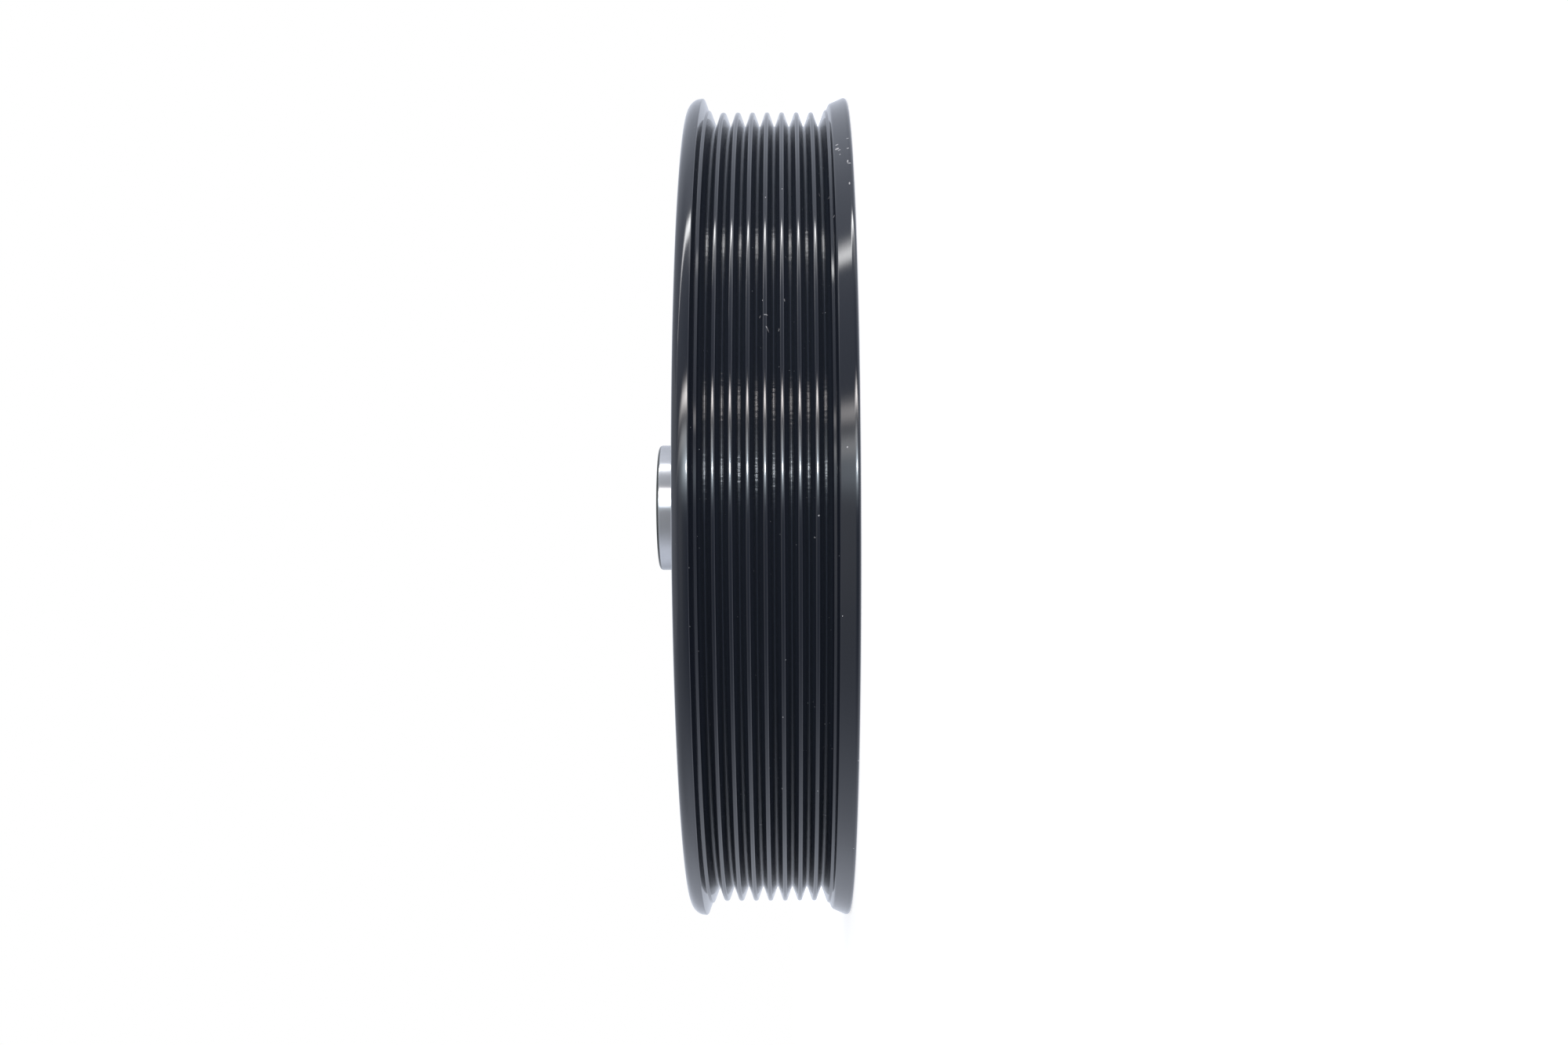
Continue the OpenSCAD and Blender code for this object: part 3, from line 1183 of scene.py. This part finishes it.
@dataclass
class RubberRing:
    """The rubber between the ring and the hub, bowed outwards and hollowed at both ends.

    Attributes:
        low: Height of its front end.
        high: Height of its rear end.
        middle_r: Radius of the middle of the rubber, at its ends.
        thickness: Thickness of the rubber.
        bow: How far its middle bows outwards.
        hollow: Depth of the hollow in each end.
        bow_steps: Steps along the bow.
        end_steps: Steps across the hollow of an end.
    """

    low: float
    high: float
    middle_r: float = 80.0 * MM
    thickness: float = 4.0 * MM
    bow: float = 1.2 * MM
    hollow: float = 0.8 * MM
    bow_steps: int = 12
    end_steps: int = 8

    def wall(self, side: float) -> list[Corner]:
        """Follows the bow of one of the rubber's walls.

        Args:
            side: 1 for the outer wall or -1 for the inner wall.

        Returns:
            The wall's corners, from the front end to the rear end.
        """
        wall_r = self.middle_r + side * self.thickness / 2
        corners = []
        for i in range(self.bow_steps + 1):
            share = i / self.bow_steps
            swell = self.bow * (1 - math.cos(2 * math.pi * share)) / 2
            corners.append(Corner(wall_r + swell, self.low + (self.high - self.low) * share))
        return corners

    def end(self, height: float, inwards: float) -> list[Corner]:
        """Follows the hollow of an end, from the outer wall to the inner wall.

        Args:
            height: Height of the end.
            inwards: Direction into the rubber, 1 or -1.

        Returns:
            The end's corners between the two walls.
        """
        outer = self.middle_r + self.thickness / 2
        corners = []
        for i in range(1, self.end_steps):
            share = i / self.end_steps
            dip = self.hollow * 4 * share * (1 - share)
            corners.append(Corner(outer - self.thickness * share, height + inwards * dip))
        return corners

    def build(self) -> bpy.types.Object:
        """Turns the rubber.

        Returns:
            The rubber's piece.
        """
        return turned_piece("rubber", [
            *self.wall(1.0),
            *self.end(self.high, -1.0),
            *reversed(self.wall(-1.0)),
            *reversed(self.end(self.low, 1.0)),
        ])

    def dress(self, piece: bpy.types.Object, rubber: BlackRubber) -> None:
        """Gives the rubber its finish and its place in the frame.

        Args:
            piece: The rubber's piece.
            rubber: The rubber's finish.
        """
        piece.data.materials.append(rubber.material())
        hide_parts("rubber_ring")
        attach(piece, BODY)


@dataclass
class Hub:
    """The cast hub: rim, web with three windows, front boss, rear boss and turned snout.

    Attributes:
        rubber: The rubber that the rim carries.
        ring_width: Width of the ring round the rubber.
        snout_top: Height of the snout's end.
        rim_low: Height of the rim's front edge.
        rim_drop: Height of the ring's rear face above the rim's rear edge.
        draft_deg: Draft of the cast walls.
        rim_t: Thickness of the rim at its open edges.
        rim_edge: Chamfer on the rim's outer edges.
        rim_lip_round: Radius on the rim's inner edges.
        web_low: Height of the web's front side beside the boss.
        web_boss_t: Thickness of the web beside the boss.
        web_rim_t: Thickness of the web beside the rim.
        web_fillet: Radius of the cast fillets beside the web.
        window_count: Number of windows.
        window_w: Radial width of a window.
        window_span_deg: Angle that a window spans.
        window_corner_r: Radius of a window's corners.
        window_edge_round: Radius on the edges of a window.
        window_edge_steps: Straight steps of that round.
        window_band_w: Width of the even band of faces round a window.
        fillet_room: Distance from a fillet's end to the web's flat panel.
        boss_low: Height of the boss face.
        front_boss_r: Radius of the front boss.
        boss_round: Radius on the rim of each boss.
        rear_boss_r: Radius of the rear boss.
        rear_boss_h: Height of the rear boss above the web.
        snout_r: Radius of the snout.
        snout_round: Radius on the snout's end.
        snout_fillet: Radius of the fillet at the snout's foot.
        bore_r: Radius of the bore.
        bore_rear_edge: Chamfer at the snout end of the bore.
        bore_front_edge: Chamfer at the bolt end of the bore.
        key_w: Width of the keyway.
        key_h: Depth of the keyway beyond the bore.
        key_overrun: How far the keyway's cutter runs past both ends.
        seat_r: Radius of the bolt seat.
        seat_depth: Depth of the bolt seat below the boss face.
        puller_count: Number of puller holes.
        puller_circle_r: Radius of the circle through them.
        puller_hole_r: Radius of a drilled hole.
        puller_depth: Depth of a hole without its drill point.
        puller_edge: Countersink of a hole.
        drill_point_deg: Angle of the drill's point.
        thread_pitch: Pitch of the thread in the holes.
        thread_depth: Depth of that thread.
        thread_taper: Share of its depth that the thread's groove loses per pitch from its middle.
        thread_rings: Rings of points along one pitch of the thread.
        edge_round: Radius that breaks a chamfer's corners.
        shaper: Collects the hub's surfaces.
    """

    rubber: RubberRing
    ring_width: float
    snout_top: float
    rim_low: float = 2.0 * MM
    rim_drop: float = 3.0 * MM
    draft_deg: float = 3.0
    rim_t: float = 8.0 * MM
    rim_edge: float = 0.8 * MM
    rim_lip_round: float = 1.5 * MM
    web_low: float = 13.5 * MM
    web_boss_t: float = 11.0 * MM
    web_rim_t: float = 9.0 * MM
    web_fillet: float = 5.5 * MM
    window_count: int = 3
    window_w: float = 19.0 * MM
    window_span_deg: float = 74.0
    window_corner_r: float = 7.0 * MM
    window_edge_round: float = 1.2 * MM
    window_edge_steps: int = 5
    window_band_w: float = 2.0 * MM
    fillet_room: float = 0.4 * MM
    boss_low: float = 4.5 * MM
    front_boss_r: float = 32.0 * MM
    boss_round: float = 2.0 * MM
    rear_boss_r: float = 27.0 * MM
    rear_boss_h: float = 6.0 * MM
    snout_r: float = 16.0 * MM
    snout_round: float = 0.9 * MM
    snout_fillet: float = 2.0 * MM
    bore_r: float = 11.0 * MM
    bore_rear_edge: float = 1.0 * MM
    bore_front_edge: float = 0.6 * MM
    key_w: float = 5.0 * MM
    key_h: float = 2.3 * MM
    key_overrun: float = 1.0 * MM
    seat_r: float = 16.5 * MM
    seat_depth: float = 2.5 * MM
    puller_count: int = 3
    puller_circle_r: float = 24.0 * MM
    puller_hole_r: float = 3.4 * MM
    puller_depth: float = 15.0 * MM
    puller_edge: float = 0.6 * MM
    drill_point_deg: float = 118.0
    thread_pitch: float = 1.25 * MM
    thread_depth: float = 0.55 * MM
    thread_taper: float = 2.4
    thread_rings: int = 8
    edge_round: float = 0.15 * MM
    shaper: Shaper = field(default_factory=Shaper)

    @property
    def rim_high(self) -> float:
        """Height of the rim's rear edge."""
        return self.ring_width - self.rim_drop

    @property
    def rim_out_r(self) -> float:
        """Outer radius of the rim at its edges."""
        return self.rubber.middle_r - self.rubber.thickness / 2

    @property
    def rim_in_r(self) -> float:
        """Inner radius of the rim at its edges."""
        return self.rim_out_r - self.rim_t

    @property
    def seat_low(self) -> float:
        """Height of the bolt seat."""
        return self.boss_low + self.seat_depth

    @property
    def rear_boss_top(self) -> float:
        """Height of the rear boss."""
        return self.web_low + self.web_boss_t + self.rear_boss_h

    def web_corners(self, side: Side) -> tuple[Corner, Corner]:
        """Finds where the web's side would meet the boss and the rim without fillets.

        Args:
            side: The side of the web.

        Returns:
            The corner beside the boss and the corner beside the rim.
        """
        slope = math.tan(math.radians(self.draft_deg))
        thinning = (self.web_boss_t - self.web_rim_t) / 2
        if side is Side.FRONT:
            boss_z, rim_z = self.web_low, self.web_low + thinning
            boss_r = self.front_boss_r + (boss_z - self.boss_low) * slope
            rim_r = self.rim_in_r - (rim_z - self.rim_low) * slope
        else:
            boss_z = self.web_low + self.web_boss_t
            rim_z = boss_z - thinning
            boss_r = self.rear_boss_r + self.rear_boss_h * slope
            rim_r = self.rim_in_r - (self.rim_high - rim_z) * slope
        return Corner(boss_r, boss_z, self.web_fillet), Corner(rim_r, rim_z, self.web_fillet)

    def web_height(self, side: Side, radius: float) -> float:
        """Finds the height of the web's side.

        Args:
            side: The side of the web.
            radius: The distance from the axis.

        Returns:
            The height there.
        """
        boss, rim = self.web_corners(side)
        share = (radius - boss.radius) / (rim.radius - boss.radius)
        return boss.height + (rim.height - boss.height) * share

    @property
    def window_radii(self) -> tuple[float, float]:
        """Places the windows midway between the front boss and the rim.

        Returns:
            Their inner and outer radius.
        """
        boss, rim = self.web_corners(Side.FRONT)
        middle = (boss.radius + rim.radius) / 2
        return middle - self.window_w / 2, middle + self.window_w / 2

    @property
    def panel_radii(self) -> tuple[float, float]:
        """Finds the web's flat panels, which lie between the fillets.

        Returns:
            Their inner and outer radius.
        """
        boss, rim = self.web_corners(Side.FRONT)
        reach = self.web_fillet + self.fillet_room
        return boss.radius + reach, rim.radius - reach

    def panel_corner(self, side: Side, radius: float) -> Corner:
        """Returns the corner where a turned outline meets the web's panel."""
        return Corner(radius, self.web_height(side, radius))

    def turn_rim(self) -> None:
        """Turns the rim, from the web's front side round the outside to its rear side."""
        outer = self.panel_radii[1]
        out_r, edge, soft = self.rim_out_r, self.rim_edge, self.edge_round
        self.shaper.turn([
            self.panel_corner(Side.FRONT, outer),
            self.web_corners(Side.FRONT)[1],
            Corner(self.rim_in_r, self.rim_low, self.rim_lip_round),
            Corner(out_r - edge, self.rim_low, soft),
            Corner(out_r, self.rim_low + edge, soft),
            *self.rubber.wall(-1.0),
            Corner(out_r, self.rim_high - edge, soft),
            Corner(out_r - edge, self.rim_high, soft),
            Corner(self.rim_in_r, self.rim_high, self.rim_lip_round),
            self.web_corners(Side.REAR)[1],
            self.panel_corner(Side.REAR, outer),
        ])

    def turn_snout(self) -> None:
        """Turns the rear boss, the snout, the bore and the bolt seat."""
        soft = self.edge_round
        self.shaper.turn([
            self.panel_corner(Side.REAR, self.panel_radii[0]),
            self.web_corners(Side.REAR)[0],
            Corner(self.rear_boss_r, self.rear_boss_top, self.boss_round),
            Corner(self.snout_r, self.rear_boss_top, self.snout_fillet),
            Corner(self.snout_r, self.snout_top, self.snout_round),
            Corner(self.bore_r + self.bore_rear_edge, self.snout_top, soft),
            Corner(self.bore_r, self.snout_top - self.bore_rear_edge, soft),
            Corner(self.bore_r, self.seat_low + self.bore_front_edge, soft),
            Corner(self.bore_r + self.bore_front_edge, self.seat_low, soft),
            Corner(self.seat_r, self.seat_low, soft),
            Corner(self.seat_r, self.boss_low, soft),
            Corner(self.boss_face_radii[0], self.boss_low),
        ])

    @property
    def boss_face_radii(self) -> tuple[float, float]:
        """Inner and outer radius of the boss face's flat panel."""
        room = 2 * self.edge_round
        return self.seat_r + room, self.front_boss_r - self.boss_round - room

    def turn_front_boss(self) -> None:
        """Turns the side of the front boss."""
        self.shaper.turn([
            Corner(self.boss_face_radii[1], self.boss_low),
            Corner(self.front_boss_r, self.boss_low, self.boss_round),
            self.web_corners(Side.FRONT)[0],
            self.panel_corner(Side.FRONT, self.panel_radii[0]),
        ])

    def window_outline(self, mesh: Mesh, middle: float, grow: float) -> Verts:
        """Draws a window's outline at height 0.

        Args:
            mesh: The mesh to draw in.
            middle: Angle of the window's middle line, in radians.
            grow: How far the outline lies outside the window's own.

        Returns:
            The outline's points.
        """
        inner, outer = self.window_radii
        corner_r = self.window_corner_r
        round_r = corner_r + grow
        half = math.radians(self.window_span_deg / 2)
        ways = (inner + corner_r, outer - corner_r)
        reaches = [half - math.asin(corner_r / way) for way in ways]
        side = half + math.pi / 2
        points = []
        for edge_r, reach in zip((inner - grow, outer + grow), reaches):
            points += arc(mesh, level_point(edge_r, -reach), ORIGIN, 2 * reach)
        for sign in (1.0, -1.0):
            out = level_point(round_r, sign * side)
            centres = [level_point(way, sign * reach) for way, reach in zip(ways, reaches)]
            turns = (reaches[0] + math.pi - side, reaches[1] - side)
            for centre, turn in zip(centres, turns):
                points += arc(mesh, centre + out, centre, sign * turn)
            mesh.edges.new([nearest(points, centre + out) for centre in centres])
        bmesh.ops.remove_doubles(mesh, verts=points, dist=MERGE_DISTANCE)
        points = [v for v in points if v.is_valid]
        bmesh.ops.rotate(mesh, verts=points, cent=ORIGIN, matrix=Matrix.Rotation(middle, 3, "Z"))
        return points

    def web_panel(self, mesh: Mesh, side: Side) -> list[Verts]:
        """Fills one side of the web between the fillets and the windows.

        Args:
            mesh: The mesh to draw in.
            side: The side of the web.

        Returns:
            The points of each window's outline.
        """
        points = [v for radius in self.panel_radii for v in circle(mesh, radius, ORIGIN, TURN_STEPS)]
        edges = edges_among(points)
        windows = []
        for i in range(self.window_count):
            middle = (2 * i + 1) * math.pi / self.window_count
            window = self.window_outline(mesh, middle, 0.0)
            band = self.window_outline(mesh, middle, self.window_band_w)
            band_edges = edges_among(band)
            bmesh.ops.bridge_loops(mesh, edges=edges_among(window) + band_edges)
            edges += band_edges
            points += window + band
            windows.append(window)
        fill(mesh, edges)
        for v in points:
            v.co.z = self.web_height(side, v.co.xy.length)
        return windows

    def build_web(self) -> None:
        """Builds both sides of the web and the windows' walls, with rounded edges."""
        mesh = bmesh.new()
        lips = []
        for front, rear in zip(self.web_panel(mesh, Side.FRONT), self.web_panel(mesh, Side.REAR)):
            pair = edges_among(front) + edges_among(rear)
            bmesh.ops.bridge_loops(mesh, edges=pair)
            lips += pair
        bmesh.ops.recalc_face_normals(mesh, faces=mesh.faces)
        bmesh.ops.bevel(
            mesh, geom=lips, offset=self.window_edge_round, offset_type="OFFSET",
            segments=self.window_edge_steps, profile=0.5, affect="EDGES", material=-1,
        )
        self.shaper.add(mesh)

    def build_boss_face(self) -> None:
        """Fills the boss face round the puller holes, and drills and threads them."""
        mesh = bmesh.new()
        points = [v for radius in self.boss_face_radii for v in circle(mesh, radius, ORIGIN, TURN_STEPS)]
        mouth_r = self.puller_hole_r + self.puller_edge
        for i in range(self.puller_count):
            turn = Matrix.Rotation(2 * math.pi * i / self.puller_count, 3, "Z")
            centre = turn @ Vector((self.puller_circle_r, 0.0, 0.0))
            points += circle(mesh, mouth_r, centre, HOLE_STEPS)
            self.drill(centre, mouth_r)
        fill(mesh, edges_among(points))
        for v in points:
            v.co.z = self.boss_low
        self.shaper.add(mesh)

    def drill(self, centre: Vector, mouth_r: float) -> None:
        """Turns the wall of a threaded blind hole.

        Args:
            centre: The hole's centre, at height 0.
            mouth_r: Radius of the hole's mouth.
        """
        mesh = bmesh.new()
        bottom = self.boss_low + self.puller_depth
        thread_low = self.boss_low + self.puller_edge
        rings = round((self.puller_depth - self.puller_edge) / self.thread_pitch * self.thread_rings)
        step = (bottom - thread_low) / rings
        point_h = self.puller_hole_r / math.tan(math.radians(self.drill_point_deg / 2))
        outline = [Vector((mouth_r, 0.0, self.boss_low))]
        outline += [Vector((self.puller_hole_r, 0.0, thread_low + i * step)) for i in range(rings + 1)]
        outline.append(Vector((0.0, 0.0, bottom + point_h)))
        points = [mesh.verts.new(centre + place) for place in outline]
        for pair in zip(points, points[1:]):
            mesh.edges.new(pair)
        revolve(mesh, centre, HOLE_DOUBLINGS, HOLE_STEPS)
        for v in mesh.verts:
            if thread_low + step < v.co.z < bottom - step:
                out = (v.co - centre).xy.normalized()
                share = (v.co.z / self.thread_pitch - math.atan2(out.y, out.x) / (2 * math.pi)) % 1.0
                cut_in = self.thread_depth * max(0.0, 1.0 - self.thread_taper * abs(share - 0.5))
                v.co.xy = centre.xy + out * (self.puller_hole_r + cut_in)
        self.shaper.add(mesh)

    def key_cutter(self) -> bpy.types.Object:
        """Makes the shape that cuts the keyway.

        Returns:
            The cutter, a bar from the axis to the keyway's floor.
        """
        low, high = self.seat_low - self.key_overrun, self.snout_top + self.key_overrun
        deep = self.bore_r + self.key_h
        bar = bmesh.new()
        bmesh.ops.create_cube(bar, size=1.0)
        bmesh.ops.scale(bar, vec=(deep, self.key_w, high - low), verts=bar.verts)
        bmesh.ops.translate(bar, vec=(deep / 2, 0.0, (low + high) / 2), verts=bar.verts)
        return add_mesh_object("key_bar", bar)

    def skin_of(self, face: bpy.types.MeshPolygon) -> HubSkin:
        """Says whether a face is cast or turned.

        Args:
            face: A face of the hub.

        Returns:
            The face's skin.
        """
        radius, height = face.center.xy.length, face.center.z
        snout = height > self.rear_boss_top - MERGE_DISTANCE and radius < self.rear_boss_r - self.boss_round
        seat = height > self.boss_low + self.edge_round and radius < self.seat_r + MICRON
        return HubSkin.TURNED if snout or seat else HubSkin.CAST

    def build(self) -> bpy.types.Object:
        """Builds the whole hub.

        Returns:
            The hub's piece.
        """
        self.turn_rim()
        self.turn_snout()
        self.turn_front_boss()
        self.build_web()
        self.build_boss_face()
        piece = self.shaper.finish("cast_hub")
        cut(piece, self.key_cutter())
        soften(piece)
        return piece

    def dress(self, piece: bpy.types.Object, cast: CastBlackCoat, bare: TurnedSteel) -> None:
        """Gives the hub its finishes and its place in the frame.

        Args:
            piece: The hub's piece.
            cast: The finish of the cast surfaces.
            bare: The finish of the turned surfaces.
        """
        piece.data.materials.clear()
        piece.data.materials.append(cast.material())
        piece.data.materials.append(bare.material())
        for face in piece.data.polygons:
            face.material_index = self.skin_of(face).value
        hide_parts("hub")
        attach(piece, BODY)


@dataclass(frozen=True)
class LightTube:
    """A long soft light tube beside the pulley's axis, as the real ones hung over a work bench.

    Attributes:
        bearing_deg: Angle about the axis, 0 on the camera's side and growing towards +X.
        spread_deg: Angle to its side at which the light has fallen to about a third.
        reach_deg: Angle along it at which the light has fallen to about a third.
        brightness: Brightness of its middle, where 1 is white.
        rise_deg: Angle of its middle above the level.
        tint: Colour of its light.
    """

    bearing_deg: float
    spread_deg: float
    reach_deg: float
    brightness: float
    rise_deg: float = 0.0
    tint: Colour = WHITE

    def light(self, bench: NodeBench, bearing: Socket, rise: Socket) -> bpy.types.Node:
        """Adds the tube's light, which fades out softly on all sides.

        Args:
            bench: The bench that holds the world's nodes.
            bearing: Angle about the axis of the direction looked at, in radians.
            rise: Angle of that direction above the level, in radians.

        Returns:
            The background that gives the light.
        """
        aside, along = (
            bench.math("DIVIDE", bench.math("SUBTRACT", angle, math.radians(middle)), math.radians(spread))
            for angle, middle, spread in (
                (bearing, self.bearing_deg, self.spread_deg),
                (rise, self.rise_deg, self.reach_deg),
            )
        )
        fall = bench.math("EXPONENT", bench.math("MULTIPLY", bench.square_sum(aside, along), -1.0))
        strength = bench.math("MULTIPLY", fall, self.brightness)
        return bench.node("Background", {"Color": self.tint, "Strength": strength})


@dataclass(frozen=True)
class Studio:
    """Camera, lights, pale surroundings and pale floor.

    Attributes:
        camera_distance: Distance of the camera from the pulley's axis.
        camera_height: Height of the camera above the front face's plane.
        lens_mm: Focal length.
        sensor_mm: Width of the sensor.
        yaw: Turn of the camera about its own upright, in radians.
        pitch: Tilt of the camera, in radians.
        roll: Roll of the camera, in radians.
        far_white: Brightness of the surroundings at the sides.
        near_white: Brightness of the surroundings on the camera's side.
        near_reach: How far a direction faces the camera's side where that change starts and ends.
        behind_share: Share of far_white that is left right behind the pulley.
        behind_reach: How far a direction faces the camera's side where that share starts and ends.
        right_share: Share of the surroundings' brightness that is left on the +X side.
        right_reach: How far a direction faces +X where that share starts and ends.
        above_share: Share of it that is left straight above.
        above_reach: How far a direction faces upwards where that share starts and ends.
        tint: Colour of the surroundings.
        floor_size: Width of the floor.
        floor_drop: Gap below the front face.
        tubes: The light tubes.
        top_size: Width of the softbox above.
        top_height: Height of that softbox.
        top_brightness: Brightness of its face, where 1 is white.
    """

    camera_distance: float = 461.09 * MM
    camera_height: float = 15.0 * MM
    lens_mm: float = 41.14
    sensor_mm: float = 36.0
    yaw: float = 0.0014
    pitch: float = 0.0085
    roll: float = 0.0047
    far_white: float = 1.3
    near_white: float = 0.13
    near_reach: tuple[float, float] = (-0.05, 0.95)
    behind_share: float = 0.6
    behind_reach: tuple[float, float] = (-0.85, -0.35)
    right_share: float = 0.74
    right_reach: tuple[float, float] = (0.55, 0.95)
    above_share: float = 0.5
    above_reach: tuple[float, float] = (0.2, 0.9)
    tint: Colour = (0.94, 1.0, 1.14, 1.0)
    floor_size: float = 8.0
    floor_drop: float = 0.1 * MM
    tubes: tuple[LightTube, ...] = (
        LightTube(10.5, 0.8, 8.0, 112.0, tint=(0.95, 1.0, 1.06, 1.0)),
        LightTube(10.7, 3.2, 18.0, 13.0, tint=(0.92, 1.0, 1.07, 1.0)),
        LightTube(10.8, 6.6, 36.0, 7.0, tint=(0.88, 1.0, 1.1, 1.0)),
        LightTube(19.0, 4.0, 40.0, 4.1, 20.0),
        LightTube(29.5, 3.5, 34.0, 20.0, tint=(1.03, 0.98, 0.96, 1.0)),
        LightTube(78.9, 2.6, 36.0, 11.0, 20.0),
        LightTube(81.8, 2.6, 24.0, 17.0),
        LightTube(73.5, 6.0, 18.0, 2.4, -8.0),
        LightTube(-5.0, 40.0, 22.0, 0.46, 46.0),
    )
    top_size: float = 0.9
    top_height: float = 1.4
    top_brightness: float = 0.25

    def build_camera(self) -> None:
        """Places the camera as the photograph was taken, with the pulley's axis level in the picture."""
        data = bpy.data.cameras.new("camera")
        data.sensor_width = self.sensor_mm
        data.lens = self.lens_mm
        data.clip_start, data.clip_end = 0.01, 100.0
        square = Matrix(((0, 1, 0), (0, 0, -1), (-1, 0, 0)))
        turns = (
            Matrix.Rotation(self.roll, 3, "Z")
            @ Matrix.Rotation(self.pitch, 3, "X")
            @ Matrix.Rotation(-self.yaw, 3, "Y")
        )
        place = Vector((0.0, -self.camera_distance, self.camera_height))
        camera = add_object("camera", data)
        camera.matrix_world = Matrix.Translation(place) @ (square @ turns.transposed()).to_4x4()
        bpy.context.scene.camera = camera

    def build_world(self) -> None:
        """Makes the pale surroundings with the light tubes, on a white background."""
        world = bpy.data.worlds.new("pale_studio")
        bpy.context.scene.world = world
        bench = NodeBench(world)
        direction = bench.node("SeparateXYZ", {0: bench.node("TexCoord").outputs["Generated"]}).outputs
        facing = bench.math("MULTIPLY", direction["Y"], -1.0)
        bearing = bench.math("ARCTAN2", direction["X"], facing)
        rise = bench.math("ARCSINE", direction["Z"])

        sides = bench.ramp(facing, *self.near_reach, self.far_white, self.near_white)
        behind = bench.ramp(facing, *self.behind_reach, self.behind_share, 1.0)
        right = bench.ramp(direction["X"], *self.right_reach, 1.0, self.right_share)
        above = bench.ramp(direction["Z"], *self.above_reach, 1.0, self.above_share)
        level = bench.math("MULTIPLY", sides, behind)
        room = bench.math("MULTIPLY", level, bench.math("MULTIPLY", right, above))
        around = bench.node("Background", {"Color": self.tint, "Strength": room})
        for tube in self.tubes:
            light = tube.light(bench, bearing, rise)
            around = bench.node("AddShader", {0: around.outputs[0], 1: light.outputs[0]})

        background = bench.node("Background", {"Color": WHITE, "Strength": 1.0})
        seen = bench.node("LightPath").outputs["Is Camera Ray"]
        both = bench.node("MixShader", {0: seen, 1: around.outputs[0], 2: background.outputs[0]})
        bench.finish(both, "OutputWorld")

    def build_top_light(self) -> None:
        """Hangs the softbox above."""
        light = bpy.data.lights.new("top_softbox", "AREA")
        light.shape = "SQUARE"
        light.size = self.top_size
        light.energy = self.top_brightness * math.pi * self.top_size**2
        lamp = add_object("top_softbox", light)
        lamp.location = (0.0, 0.0, self.top_height)
        lamp.visible_camera = False

    def build_floor(self, board: PaleFloor) -> None:
        """Lays the pale floor that the pulley stands on, which casts no light back on it.

        Args:
            board: The floor's finish.
        """
        mesh = bmesh.new()
        bmesh.ops.create_grid(mesh, x_segments=1, y_segments=1, size=self.floor_size / 2)
        bmesh.ops.translate(mesh, vec=(0.0, 0.0, -self.floor_drop), verts=mesh.verts)
        floor = add_mesh_object("floor", mesh)
        floor.data.materials.append(board.material())
        floor.visible_diffuse = False
        floor.visible_glossy = False
        floor.visible_shadow = False

    def build(self) -> None:
        """Builds the whole studio."""
        self.build_camera()
        self.build_world()
        self.build_top_light()
        self.build_floor(PaleFloor())
        bpy.context.scene.view_settings.view_transform = "Standard"


def report(piece: bpy.types.Object) -> None:
    """Logs a finished piece.

    Args:
        piece: The piece.
    """
    triangles = sum(len(face.vertices) - 2 for face in piece.data.polygons)
    logger.info("%s: %d triangles", piece.name, triangles)


def main() -> None:
    """Builds the studio and the pulley's pieces in order."""
    logging.basicConfig(level=logging.INFO)
    Studio().build()

    _, ring_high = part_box("pulley_ring")
    rubber_low, rubber_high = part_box("rubber_ring")
    _, hub_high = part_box("hub")

    rubber = RubberRing(low=rubber_low.z, high=rubber_high.z)
    ring = PulleyRing(crest_r=ring_high.x, width=ring_high.z, bore=rubber)
    hub = Hub(rubber=rubber, ring_width=ring.width, snout_top=hub_high.z)

    ring_piece = ring.build()
    ring.dress(ring_piece, GlossBlackCoat())
    report(ring_piece)

    rubber_piece = rubber.build()
    rubber.dress(rubber_piece, BlackRubber())
    report(rubber_piece)

    hub_piece = hub.build()
    hub.dress(hub_piece, CastBlackCoat(), TurnedSteel())
    report(hub_piece)


if __name__ == "__main__":
    main()
